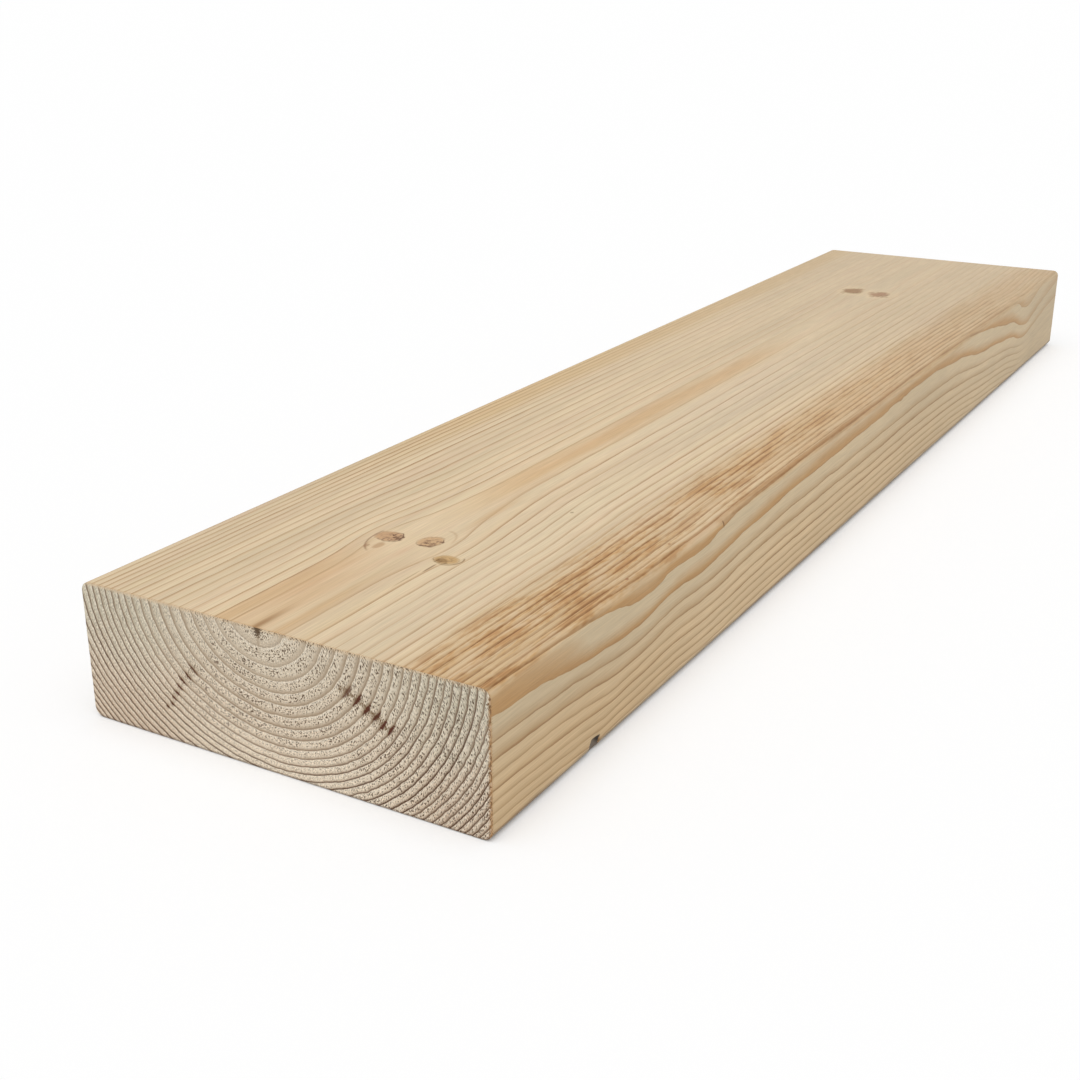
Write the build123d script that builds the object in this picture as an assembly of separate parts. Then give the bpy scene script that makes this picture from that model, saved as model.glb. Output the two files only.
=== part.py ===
from build123d import *

import os

# A softwood plank: one length of timber, planed on all four sides to a standard
# section, with its long edges eased and both ends cross-cut square.
#
# Lengths are in millimetres. +X runs along the grain from the near end to the
# far end, +Y across the width from the front edge to the back edge, and +Z up
# through the thickness. The origin is on the underside, below the middle.

# Stock size
PLANK_LENGTH = 650.0
PLANK_WIDTH = 145.0
PLANK_THICKNESS = 45.0

# Easing planed along the four long edges
ARRIS_RADIUS = 3.0

# Torn knot: a small branch that the planer pulled out of the front lower edge
TORN_KNOT_FROM_NEAR_END = 57.5
TORN_KNOT_ABOVE_UNDERSIDE = 2.0
TORN_KNOT_RADIUS = 3.5
TORN_KNOT_DEPTH = 1.5

PARTS_FOLDER = "parts"


def planed_section() -> Sketch:
    """Cross-section square to the grain, standing on the underside."""
    centred = RectangleRounded(PLANK_WIDTH, PLANK_THICKNESS, ARRIS_RADIUS)
    return Plane.YZ * Pos(0, PLANK_THICKNESS / 2) * centred


def sawn_length() -> Part:
    """The section run along the grain, cut square at both ends."""
    return extrude(planed_section(), amount=PLANK_LENGTH / 2, both=True)


def torn_knot() -> Part:
    """Ball whose cap is the shallow hollow that the knot left in the front edge."""
    ball_radius = (TORN_KNOT_RADIUS**2 + TORN_KNOT_DEPTH**2) / (2 * TORN_KNOT_DEPTH)
    ball_centre = Pos(
        TORN_KNOT_FROM_NEAR_END - PLANK_LENGTH / 2,
        TORN_KNOT_DEPTH - PLANK_WIDTH / 2 - ball_radius,
        TORN_KNOT_ABOVE_UNDERSIDE,
    )
    return ball_centre * Sphere(ball_radius)


def plank() -> Part:
    """The whole plank, which is one piece of timber."""
    return sawn_length() - torn_knot()


os.makedirs(PARTS_FOLDER, exist_ok=True)
export_step(plank(), os.path.join(PARTS_FOLDER, "plank.step"))
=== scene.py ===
"""Looks of a short softwood plank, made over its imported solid.

The plank is one piece of timber. Its mesh is made by Geometry Nodes from the
solid's own box, and two finishes dress it: planed timber on the four long faces
and sawn end grain on both ends. Both read the same growth rings, worked out in
the solid round the pith, so the lines on the long faces run on from the rings
on the ends.

Lengths in the mesh are metres. In the finishes they are millimetres, with x
running along the grain from the near end, y across the width and z up.
"""

from __future__ import annotations

import logging
import math
from collections.abc import Mapping
from dataclasses import dataclass, field
from enum import Enum

import bpy
import numpy as np
from mathutils import Matrix, Vector

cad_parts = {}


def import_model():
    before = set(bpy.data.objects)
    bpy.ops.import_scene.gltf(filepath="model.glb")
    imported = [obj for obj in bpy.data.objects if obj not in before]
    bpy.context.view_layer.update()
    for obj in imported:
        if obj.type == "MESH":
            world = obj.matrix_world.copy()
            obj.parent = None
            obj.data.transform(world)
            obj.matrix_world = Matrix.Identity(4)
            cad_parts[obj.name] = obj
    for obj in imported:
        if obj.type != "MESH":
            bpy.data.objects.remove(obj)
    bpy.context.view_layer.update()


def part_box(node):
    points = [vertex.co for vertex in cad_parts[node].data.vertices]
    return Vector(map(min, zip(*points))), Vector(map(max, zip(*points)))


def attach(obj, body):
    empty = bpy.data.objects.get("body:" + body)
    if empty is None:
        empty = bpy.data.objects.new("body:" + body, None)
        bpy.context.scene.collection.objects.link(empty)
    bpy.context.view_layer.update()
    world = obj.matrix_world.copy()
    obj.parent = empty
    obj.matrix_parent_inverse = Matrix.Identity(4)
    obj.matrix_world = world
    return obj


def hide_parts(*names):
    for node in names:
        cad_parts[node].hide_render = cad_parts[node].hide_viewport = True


LOG = logging.getLogger("plank")

MM = 0.001
WHITE = (1.0, 1.0, 1.0, 1.0)

# Lean of a face's normal along the grain from which the face belongs to an end
END_LEAN = 0.6

# Start and end of a stretch; the same with the values at its start and end; x, y, z
Span = tuple[float, float]
Run = tuple[float, float, float, float]
Triple = tuple[float, float, float]


@dataclass(frozen=True)
class Tone:
    """A colour written as it is seen, each part from 0 to 255."""

    red: float
    green: float
    blue: float

    @property
    def rgba(self) -> tuple[float, float, float, float]:
        """The colour in linear light, as sockets take it."""
        parts = [part / 255 for part in (self.red, self.green, self.blue)]
        linear = [p / 12.92 if p <= 0.04045 else ((p + 0.055) / 1.055) ** 2.4 for p in parts]
        return (linear[0], linear[1], linear[2], 1.0)


class Noise(Enum):
    """Which noise is which, each with a seed of its own."""

    RING_WANDER = 1.0
    RING_WAVES = 2.0
    RING_KINKS = 4.0
    KNOT_OUTLINES = 9.0
    KNOT_MOTTLE = 10.0
    BAND_FLECKS = 12.0
    BAND_PATCHES = 13.0
    BROAD_SHADE = 14.0
    BAND_RIDGES = 15.0


@dataclass(frozen=True)
class Field:
    """A value that the nodes of one tree work out at every point."""

    bench: Bench
    socket: bpy.types.NodeSocket

    def __add__(self, other: Feed) -> Field:
        """Sum of two values."""
        return self.bench.math("ADD", self, other)

    def __radd__(self, other: Feed) -> Field:
        """Sum of two values."""
        return self.bench.math("ADD", other, self)

    def __sub__(self, other: Feed) -> Field:
        """This value less the other."""
        return self.bench.math("SUBTRACT", self, other)

    def __rsub__(self, other: Feed) -> Field:
        """The other value less this one."""
        return self.bench.math("SUBTRACT", other, self)

    def __mul__(self, other: Feed) -> Field:
        """Product of two values."""
        return self.bench.math("MULTIPLY", self, other)

    def __rmul__(self, other: Feed) -> Field:
        """Product of two values."""
        return self.bench.math("MULTIPLY", other, self)

    def __truediv__(self, other: Feed) -> Field:
        """This value over the other."""
        return self.bench.math("DIVIDE", self, other)

    def __rtruediv__(self, other: Feed) -> Field:
        """The other value over this one."""
        return self.bench.math("DIVIDE", other, self)

    def __abs__(self) -> Field:
        """The value without its sign."""
        return self.bench.math("ABSOLUTE", self)


Feed = Field | bpy.types.NodeSocket | float | tuple


class Bench:
    """Adds nodes to one tree, shader or geometry, and joins them.

    Args:
        tree: The node tree to work on.
    """

    ROWS = 9
    STEP = (190.0, 175.0)
    SEED_SHIFT = (7.31, 3.17, 5.93)
    NOISE_ROUGHNESS = 0.55
    MIX_INPUTS = (0, 6, 7)
    MIX_OUTPUT = 2

    def __init__(self, tree: bpy.types.NodeTree) -> None:
        """Starts on the given tree."""
        self.tree = tree

    def node(
        self, kind: str, feeds: Mapping[str | int, Feed] | None = None, **settings: object
    ) -> bpy.types.Node:
        """Adds one node and joins what feeds it.

        Args:
            kind: Blender's name for the node type.
            feeds: What goes into each input, by name or index.
            **settings: The node's own properties.

        Returns:
            The new node.
        """
        column, row = divmod(len(self.tree.nodes), self.ROWS)
        node = self.tree.nodes.new(kind)
        node.location = (self.STEP[0] * column, -self.STEP[1] * row)
        for name, value in settings.items():
            setattr(node, name, value)
        for key, feed in (feeds or {}).items():
            self.feed(node.inputs[key], feed)
        return node

    def feed(self, socket: bpy.types.NodeSocket, feed: Feed) -> None:
        """Joins a value to an input, or sets a plain number or colour on it.

        Args:
            socket: The input.
            feed: The value, or the number or colour.
        """
        source = feed.socket if isinstance(feed, Field) else feed
        if isinstance(source, bpy.types.NodeSocket):
            self.tree.links.new(source, socket)
        else:
            socket.default_value = source

    def field(self, socket: bpy.types.NodeSocket) -> Field:
        """A socket as a value to reckon with."""
        return Field(self, socket)

    def centred(self, socket: bpy.types.NodeSocket) -> Field:
        """A noise from 0 to 1 as one from -1 to 1."""
        return (self.field(socket) - 0.5) * 2.0

    def math(self, operation: str, *feeds: Feed) -> Field:
        """One Math node.

        Args:
            operation: Blender's name for the operation.
            *feeds: Its operands, in order.

        Returns:
            The result.
        """
        node = self.node("ShaderNodeMath", dict(enumerate(feeds)), operation=operation)
        return self.field(node.outputs[0])

    def vector_math(self, operation: str, *feeds: Feed) -> Field:
        """One Vector Math node that gives a vector.

        Args:
            operation: Blender's name for the operation.
            *feeds: Its operands, in order.

        Returns:
            The result.
        """
        node = self.node("ShaderNodeVectorMath", dict(enumerate(feeds)), operation=operation)
        return self.field(node.outputs["Vector"])

    def reach(self, vector: Feed) -> Field:
        """Length of a vector."""
        node = self.node("ShaderNodeVectorMath", {0: vector}, operation="LENGTH")
        return self.field(node.outputs["Value"])

    def clamp(self, value: Feed, low: float = 0.0, high: float = 1.0) -> Field:
        """The value held between two limits."""
        return self.math("MINIMUM", self.math("MAXIMUM", value, low), high)

    def between(self, share: Field, low: Feed, high: Feed) -> Field:
        """A value that is low where the share is 0 and high where it is 1."""
        return low + (high - low) * share

    def step(self, value: Feed, start: Feed, end: Feed) -> Field:
        """A soft step from 0 where the value is start to 1 where it is end."""
        return self.soft(value, start, end, 0.0, 1.0)

    def soft(self, value: Feed, start: Feed, end: Feed, first: float, last: float) -> Field:
        """A soft step from first to last while the value goes from start to end."""
        return self._map_range("SMOOTHSTEP", value, start, end, first, last)

    def ramp(self, value: Feed, start: Feed, end: Feed, first: Feed, last: Feed) -> Field:
        """A straight run from first to last while the value goes from start to end."""
        return self._map_range("LINEAR", value, start, end, first, last)

    def _map_range(self, course: str, *feeds: Feed) -> Field:
        """One Map Range node.

        Args:
            course: Blender's name for how it runs from one end to the other.
            *feeds: The value, where it starts and ends, and the results there.

        Returns:
            The result.
        """
        node = self.node(
            "ShaderNodeMapRange", dict(enumerate(feeds)), interpolation_type=course, clamp=True
        )
        return self.field(node.outputs[0])

    def bell(self, value: Feed, centre: Feed, width: float) -> Field:
        """A bell curve that is 1 at the centre."""
        away = self.math("DIVIDE", self.math("SUBTRACT", value, centre), width)
        return self.math("EXPONENT", away * away * -1.0)

    def tent(self, value: Feed, centre: float, width: float, rounding: Feed) -> Field:
        """A peak with straight-looking flanks and a rounded top that is 1 at the centre."""
        away = self.length(self.math("SUBTRACT", value, centre), rounding)
        return self.math("EXPONENT", self.math("SUBTRACT", away, rounding) * (-1.0 / width))

    def length(self, first: Feed, second: Feed) -> Field:
        """Length of the hypotenuse over two sides."""
        square = self.math("MULTIPLY", first, first) + self.math("MULTIPLY", second, second)
        return self.math("SQRT", square)

    def split(self, vector: Feed) -> tuple[Field, Field, Field]:
        """The three parts of a vector."""
        x, y, z = self.node("ShaderNodeSeparateXYZ", {0: vector}).outputs
        return self.field(x), self.field(y), self.field(z)

    def vector(self, x: Feed, y: Feed, z: Feed) -> Field:
        """A vector from its three parts."""
        node = self.node("ShaderNodeCombineXYZ", {0: x, 1: y, 2: z})
        return self.field(node.outputs[0])

    def noise(self, place: Feed, grain: Triple, which: Noise, detail: float = 1.0) -> Field:
        """Soft noise between about -1 and 1.

        Args:
            place: Where, in millimetres.
            grain: Size of its features along each axis, in millimetres.
            which: Which noise.
            detail: How many finer layers it has.

        Returns:
            The noise.
        """
        factors = tuple(1 / size for size in grain)
        shift = tuple(which.value * step for step in self.SEED_SHIFT)
        feeds = {
            "Vector": self.vector_math("MULTIPLY_ADD", place, factors, shift),
            "Scale": 1.0,
            "Detail": detail,
            "Roughness": self.NOISE_ROUGHNESS,
        }
        node = self.node("ShaderNodeTexNoise", feeds, noise_dimensions="3D")
        return self.centred(node.outputs[0])

    def chance(self, number: Feed, seed: float) -> Field:
        """A fixed random number from 0 to 1 for each whole number."""
        where = self.math("ADD", number, seed)
        node = self.node("ShaderNodeTexWhiteNoise", {"W": where}, noise_dimensions="1D")
        return self.field(node.outputs[0])

    def mix(self, share: Feed, first: Feed, second: Feed, blend: str = "MIX") -> Field:
        """Two colours laid over each other.

        Args:
            share: How much of the second shows.
            first: The colour below.
            second: The colour above.
            blend: Blender's name for how they mix.

        Returns:
            The mixed colour.
        """
        feeds = dict(zip(self.MIX_INPUTS, (share, first, second), strict=True))
        node = self.node("ShaderNodeMix", feeds, data_type="RGBA", blend_type=blend)
        return self.field(node.outputs[self.MIX_OUTPUT])

    def place(self, group: bpy.types.NodeTree, feeds: Mapping[str, Feed]) -> dict[str, Field]:
        """Puts a shader node group in the tree.

        Args:
            group: The group's own tree.
            feeds: What goes into its inputs, by name.

        Returns:
            Its outputs, by name.
        """
        node = self.node("ShaderNodeGroup", node_tree=group)
        for name, feed in feeds.items():
            self.feed(node.inputs[name], feed)
        return {socket.name: self.field(socket) for socket in node.outputs}


class SocketKind(Enum):
    """Kinds of socket that groups and trees have."""

    VALUE = "NodeSocketFloat"
    VECTOR = "NodeSocketVector"
    MATERIAL = "NodeSocketMaterial"
    SHAPE = "NodeSocketGeometry"


class Group:
    """A shader node group while it is made.

    Args:
        name: Its name.
        inputs: Name and kind of each input.
        outputs: Name and kind of each output.
    """

    def __init__(
        self, name: str, inputs: Mapping[str, SocketKind], outputs: Mapping[str, SocketKind]
    ) -> None:
        """Makes the empty group with its sockets."""
        self.tree = bpy.data.node_groups.new(name, "ShaderNodeTree")
        for label, kind in inputs.items():
            self.tree.interface.new_socket(label, in_out="INPUT", socket_type=kind.value)
        for label, kind in outputs.items():
            self.tree.interface.new_socket(label, in_out="OUTPUT", socket_type=kind.value)
        self.bench = Bench(self.tree)
        source = self.bench.node("NodeGroupInput")
        self.given = {label: self.bench.field(source.outputs[label]) for label in inputs}

    def finish(self, results: Mapping[str, Field]) -> bpy.types.NodeTree:
        """Joins the results to the outputs.

        Args:
            results: The value for each output, by name.

        Returns:
            The finished tree.
        """
        self.bench.node("NodeGroupOutput", results)
        return self.tree


@dataclass(frozen=True)
class EdgeBulge:
    """Where the rings swell a little more on the front edge, in millimetres.

    Its place along the grain counts from the near branches. It sets in over one
    stretch of heights and may fade over another.
    """

    from_whorl: float
    length: float
    rise: Span
    height: float = 1.0
    fade: Span | None = None

    def swell(self, bench: Bench, x: Field, z: Field, whorl: float) -> Field:
        """How far the rings stand out there.

        Args:
            bench: The tree to work on.
            x: Place along the grain.
            z: Height.
            whorl: Where the branches grew.

        Returns:
            The distance, as a share of what all bulges have in common.
        """
        swell = bench.bell(x, whorl + self.from_whorl, self.length) * bench.step(z, *self.rise)
        if self.fade is not None:
            swell = swell * bench.step(z, *self.fade)
        return swell * self.height


@dataclass(frozen=True)
class KnotBulge:
    """How far the rings stand out round a group of knots in the top, in millimetres."""

    along: float
    length: float
    across: float
    width: float
    height: float

    def swell(self, bench: Bench, x: Field, y: Field) -> Field:
        """The distance by which the rings are pushed outwards."""
        along = bench.bell(x, self.along, self.length)
        return along * bench.bell(y, self.across, self.width) * self.height


@dataclass(frozen=True)
class GrowthRings:
    """Where the tree's growth rings lie in the plank, in millimetres.

    A ring ends in a dark line where the ring count, which follows from the
    distance to the pith, is a whole number. The rings aren't quite round, and
    they swell out along the grain where branches grew.
    """

    pith_across: float = 2.9
    pith_up: float = 48.5
    inner_shift: float = 2.6
    inner_reach: float = 24.0
    least_distance: float = 0.01

    # How far a ring departs from a circle, as shares of its radius
    oval_share: float = -0.0868
    oval_turn_share: float = 0.0071
    skew_across_share: float = 0.0116
    skew_up_share: float = 0.0078
    three_across_share: float = -0.0191
    three_up_share: float = -0.0120

    # Ring count: rings get narrower as the tree grows, and good years come and go
    first_count: float = 1.774
    count_per_mm: float = 0.1045
    count_per_square_mm: float = 0.0028
    good_years: float = 0.14
    good_years_every: float = 30.0
    good_years_from: float = 36.0

    # Wavering of the rings: a slow wander, waves, and kinks that fade along the grain
    wander: float = 0.3
    wander_size: Triple = (300.0, 28.0, 28.0)
    wave_size: Triple = (40.0, 4.2, 4.2)
    kink_size: Triple = (9.0, 3.0, 3.0)
    kinks: Run = (150.0, 420.0, 0.6, 0.25)

    # Where the swelling shows: away from the pith, and towards the front edge
    outer: Span = (30.0, 62.0)
    front: Span = (-36.0, -68.0)

    # Branches near the near end, which lean, and how far the rings swell there
    near_whorl: float = 67.0
    near_lean_share: float = 0.75
    near_lean_from: float = 12.0
    near_peak: float = 1.35
    near_flank: float = 25.0
    near_rounding: Run = (8.0, 42.0, 1.5, 18.0)
    near_swell: float = 0.9
    near_swell_from: float = 52.0
    near_swell_length: float = 65.0
    near_ripple: Span = (72.0, 46.0)
    inner_drop: float = 2.7
    inner_drop_from: Span = (20.0, 78.0)
    inner_bulge: float = 0.34
    edge_bulges: tuple[EdgeBulge, ...] = (
        EdgeBulge(-28.0, 23.0, (27.0, 33.0), 1.25),
        EdgeBulge(-11.0, 18.0, (28.0, 33.0), fade=(40.0, 37.0)),
        EdgeBulge(58.0, 22.0, (37.5, 41.0)),
        EdgeBulge(120.0, 32.0, (32.0, 36.0), 0.7),
    )

    # Branches near the far end
    far_whorl: float = 575.0
    far_peak: float = 2.2
    far_flank: float = 28.0
    far_rounding: float = 14.0
    far_swell: float = 2.9
    far_swell_length: float = 110.0
    far_shares: Run = (35.0, 20.0, 0.88, 1.08)
    far_back_share: float = 0.15
    far_ripple: Span = (-95.0, -33.0)
    far_hollow: float = 0.5
    far_hollow_from: float = -190.0
    far_hollow_length: float = 70.0

    # Slight waves beside the branches, and the rings round the knots in the top
    ripple: float = 0.32
    crest_length: float = 23.0
    trough_length: float = 15.0
    knot_rise: Span = (15.0, 40.0)
    knot_bulges: tuple[KnotBulge, ...] = (
        KnotBulge(79.0, 17.0, 7.0, 17.0, 6.0),
        KnotBulge(532.0, 22.0, 8.0, 16.0, 4.5),
    )

    def build(self) -> bpy.types.NodeTree:
        """Makes the group that gives the rings at any place.

        Returns:
            The group's tree.
        """
        kinds = SocketKind
        outputs = ("Phase", "Ring", "Width", "Radius", "Bearing", "Arc", "Steepness")
        group = Group(
            "Growth rings",
            {"Place": kinds.VECTOR, "Fine Waves": kinds.VALUE},
            dict.fromkeys(outputs, kinds.VALUE),
        )
        bench, place = group.bench, group.given["Place"]
        x, y, z = bench.split(place)
        up = z - self.pith_up
        first = bench.length(y - self.pith_across, up)
        shift = bench.step(first, self.inner_reach, 0.0) * self.inner_shift
        across = y - self.pith_across - shift
        away = bench.math("MAXIMUM", bench.length(across, up), self.least_distance)
        cosine, sine = across / away, up / away
        radius = away * self._roundness(cosine, sine)
        radius = radius - self._swelling(bench, x, y, z, away)
        wander = bench.noise(place, self.wander_size, Noise.RING_WANDER, 0.0)
        kinks = bench.noise(place, self.kink_size, Noise.RING_KINKS) * bench.ramp(x, *self.kinks)
        waves = bench.noise(place, self.wave_size, Noise.RING_WAVES) + kinks
        radius = radius + wander * self.wander + waves * group.given["Fine Waves"]
        radius = bench.math("MAXIMUM", radius, 0.0)
        turns = (radius - self.good_years_from) * (2 * math.pi / self.good_years_every)
        rhythm = bench.math("SINE", turns)
        count = radius * self.count_per_mm + radius * radius * self.count_per_square_mm
        count = count - rhythm * self.good_years + self.first_count
        bearing = bench.math("ARCTAN2", across, up * -1.0)
        return group.finish(
            {
                "Phase": bench.math("FRACT", count),
                "Ring": bench.math("FLOOR", count),
                "Width": 1.0 / (radius * (2 * self.count_per_square_mm) + self.count_per_mm),
                "Radius": radius,
                "Bearing": bearing,
                "Arc": bearing * away,
                "Steepness": abs(sine),
            }
        )

    def _roundness(self, cosine: Field, sine: Field) -> Field:
        """How the rings depart from circles in each direction round the pith.

        Args:
            cosine: Cosine of the direction, along the width.
            sine: Sine of the direction, upwards.

        Returns:
            What the distance to the pith is multiplied by.
        """
        cosine_squared, sine_squared = cosine * cosine, sine * sine
        oval = (cosine_squared * 2.0 - 1.0) * self.oval_share
        turned = cosine * sine * (2 * self.oval_turn_share)
        skew = cosine * self.skew_across_share + sine * self.skew_up_share
        three = cosine * (cosine_squared * 4.0 - 3.0) * self.three_across_share
        three = three + sine * (3.0 - sine_squared * 4.0) * self.three_up_share
        return oval + turned + skew + three + 1.0

    def _swelling(self, bench: Bench, x: Field, y: Field, z: Field, away: Field) -> Field:
        """How far the rings stand out along the grain, round the branches.

        Args:
            bench: The tree to work on.
            x: Place along the grain.
            y: Place across the width.
            z: Height.
            away: Distance to the pith.

        Returns:
            The distance by which the rings are pushed outwards.
        """
        outer, front = bench.step(away, *self.outer), bench.step(y, *self.front)
        near = self._near_swelling(bench, x, z)
        drop_start, drop_end = (self.near_whorl + place for place in self.inner_drop_from)
        drop = bench.step(x, drop_start, drop_end) * -self.inner_drop
        far = self._far_swelling(bench, x, z) * bench.between(front, self.far_back_share, 1.0)
        knots = sum(bulge.swell(bench, x, y) for bulge in self.knot_bulges)
        knots = knots * bench.step(z, *self.knot_rise)
        return outer * near * front + (1.0 - outer) * drop + far + knots

    def _near_swelling(self, bench: Bench, x: Field, z: Field) -> Field:
        """Swelling of the outer rings round the near branches.

        Args:
            bench: The tree to work on.
            x: Place along the grain.
            z: Height.

        Returns:
            The distance by which the rings are pushed outwards.
        """
        leaning = x - (z - self.near_lean_from) * self.near_lean_share
        rounding = bench.ramp(z, *self.near_rounding)
        peak = bench.tent(leaning, self.near_whorl, self.near_flank, rounding)
        broad = bench.bell(x, self.near_whorl + self.near_swell_from, self.near_swell_length)
        bulges = sum(bulge.swell(bench, x, z, self.near_whorl) for bulge in self.edge_bulges)
        near = peak * self.near_peak + broad * self.near_swell + bulges * self.inner_bulge
        return near + self._ripple(bench, x, self.near_whorl, self.near_ripple)

    def _far_swelling(self, bench: Bench, x: Field, z: Field) -> Field:
        """Swelling of the rings round the far branches, and the hollow before them.

        Args:
            bench: The tree to work on.
            x: Place along the grain.
            z: Height.

        Returns:
            The distance by which the rings are pushed outwards.
        """
        peak = bench.tent(x, self.far_whorl, self.far_flank, self.far_rounding)
        broad = bench.bell(x, self.far_whorl, self.far_swell_length)
        far = (broad * self.far_swell + peak * self.far_peak) * bench.ramp(z, *self.far_shares)
        far = far + self._ripple(bench, x, self.far_whorl, self.far_ripple)
        hollow = bench.bell(x, self.far_whorl + self.far_hollow_from, self.far_hollow_length)
        return far - hollow * self.far_hollow

    def _ripple(self, bench: Bench, x: Field, whorl: float, places: Span) -> Field:
        """A slight wave of the rings along the grain, beside the branches.

        Args:
            bench: The tree to work on.
            x: Place along the grain.
            whorl: Where the branches grew.
            places: Where the rings stand out and draw in, counted from there.

        Returns:
            The distance by which the rings are pushed outwards.
        """
        crest = bench.bell(x, whorl + places[0], self.crest_length)
        return (crest - bench.bell(x, whorl + places[1], self.trough_length)) * self.ripple


@dataclass(frozen=True)
class Fibres:
    """Fine fibres of the timber, as a group that gives their streaks anywhere."""

    roughness: float = 0.6
    cross_shift: float = 37.3

    def build(self) -> bpy.types.NodeTree:
        """Makes the group.

        Returns:
            The group's tree.
        """
        kinds = SocketKind
        values = ("Length", "Thickness", "Layers", "Seed")
        group = Group(
            "Timber fibres",
            {"Place": kinds.VECTOR} | dict.fromkeys(values, kinds.VALUE),
            {"Streak": kinds.VALUE, "Cross Streak": kinds.VALUE},
        )
        bench = group.bench
        x, y, z = bench.split(group.given["Place"])
        length, thickness, layers, seed = (group.given[name] for name in values)
        streaks = {}
        for name, shift in (("Streak", 0.0), ("Cross Streak", self.cross_shift)):
            start = seed + shift
            where = bench.vector(
                x / length + start, y / thickness + start, z / thickness + start
            )
            feeds = {
                "Vector": where,
                "Scale": 1.0,
                "Detail": layers,
                "Roughness": self.roughness,
            }
            node = bench.node("ShaderNodeTexNoise", feeds, noise_dimensions="3D")
            streaks[name] = bench.centred(node.outputs[0])
        return group.finish(streaks)


@dataclass(frozen=True)
class FibreSize:
    """Length and thickness of some fibres in millimetres, their layers and their seed."""

    length: float
    thickness: float
    layers: float
    seed: float

    def lay(self, bench: Bench, fibres: bpy.types.NodeTree, place: Field) -> dict[str, Field]:
        """Puts these fibres in a tree.

        Args:
            bench: The tree to work on.
            fibres: The group of fibres.
            place: Place on the plank.

        Returns:
            Their streaks, by name.
        """
        feeds = {
            "Place": place,
            "Length": self.length,
            "Thickness": self.thickness,
            "Layers": self.layers,
            "Seed": self.seed,
        }
        return bench.place(fibres, feeds)


@dataclass(frozen=True)
class Knot:
    """One small branch cut through by the top face, in millimetres."""

    along: float
    across: float
    half_length: float
    half_width: float
    heart: Tone
    dark: Tone
    facing: tuple[float, float]
    rings: float
    softness: float = 0.2
    raggedness: float = 0.2


@dataclass(frozen=True)
class KnotShape:
    """The shape that all knots share, as a group placed once for each of them."""

    # How deep below the top a knot still shows, in millimetres
    shown: Span = (39.0, 44.0)

    # Its rings: how many, how wavy, and where they are faint or broken
    ring_turns: float = 12.0
    ring_phase: float = 2.14
    ring_waviness: float = 2.6
    ring_crest: Span = (0.3, 1.0)
    ring_side: Span = (-0.6, 0.6)
    ring_faintest: float = 0.3
    ring_breaks: Span = (-0.3, 0.2)
    ring_break_share: float = 0.25
    ring_limit: Span = (1.25, 1.05)

    # Its dark side, its flecks, and the pale wood round it
    side_waviness: float = 0.8
    side_mottle: float = 0.9
    dark_side: Span = (0.2, 1.0)
    flecks: Span = (0.12, 0.5)
    fleck_share: float = 0.4
    halo: Span = (2.4, 1.05)

    def build(self) -> bpy.types.NodeTree:
        """Makes the group.

        Returns:
            The group's tree.
        """
        kinds = SocketKind
        inputs = (
            "Uneven",
            "Mottle",
            "Along",
            "Across",
            "Half Length",
            "Half Width",
            "Dark Along",
            "Dark Across",
            "Softness",
            "Raggedness",
        )
        outputs = ("Heart", "Rings", "Shade", "Halo")
        group = Group(
            "Knot",
            {"Place": kinds.VECTOR} | dict.fromkeys(inputs, kinds.VALUE),
            dict.fromkeys(outputs, kinds.VALUE),
        )
        bench, given = group.bench, group.given
        x, y, z = bench.split(given["Place"])
        along = (x - given["Along"]) / given["Half Length"]
        across = (y - given["Across"]) / given["Half Width"]
        uneven, mottle = given["Uneven"], given["Mottle"]
        away = bench.length(along, across) + uneven * given["Raggedness"]
        shown = bench.step(z, *self.shown)
        heart = bench.step(away, given["Softness"] + 1.0, 1.0 - given["Softness"]) * shown
        side = along * given["Dark Along"] + across * given["Dark Across"]
        side = side + uneven * self.side_waviness
        turns = away * self.ring_turns + uneven * self.ring_waviness + self.ring_phase
        rings = bench.step(bench.math("SINE", turns), *self.ring_crest)
        rings = rings * bench.between(bench.step(side, *self.ring_side), self.ring_faintest, 1.0)
        unbroken = bench.step(mottle, *self.ring_breaks)
        rings = rings * bench.between(unbroken, self.ring_break_share, 1.0)
        shade = bench.step(side + mottle * self.side_mottle, *self.dark_side)
        shade = bench.clamp(shade + bench.step(mottle, *self.flecks) * self.fleck_share)
        return group.finish(
            {
                "Heart": heart,
                "Rings": rings * bench.step(away, *self.ring_limit) * shown,
                "Shade": heart * shade,
                "Halo": bench.step(away, *self.halo) * shown,
            }
        )


@dataclass(frozen=True)
class Brow:
    """A thin dark arc beside a knot, on part of an ellipse, in millimetres."""

    along: float
    across: float
    half_length: float
    half_width: float
    facing: tuple[float, float]
    from_share: float
    thickness: float
    strength: float
    tone: Tone
    fade_before: float = 0.1
    fade_after: float = 0.15

    def mask(self, bench: Bench, x: Field, y: Field) -> Field:
        """How strongly the arc shows.

        Args:
            bench: The tree to work on.
            x: Place along the grain.
            y: Place across the width.

        Returns:
            The strength.
        """
        along = (x - self.along) / self.half_length
        across = (y - self.across) / self.half_width
        off = (bench.length(along, across) - 1.0) * self.half_width
        facing = along * self.facing[0] + across * self.facing[1]
        start, end = self.from_share - self.fade_before, self.from_share + self.fade_after
        shown = bench.step(facing, start, end)
        return bench.bell(off, 0.0, self.thickness) * shown * self.strength


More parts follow.
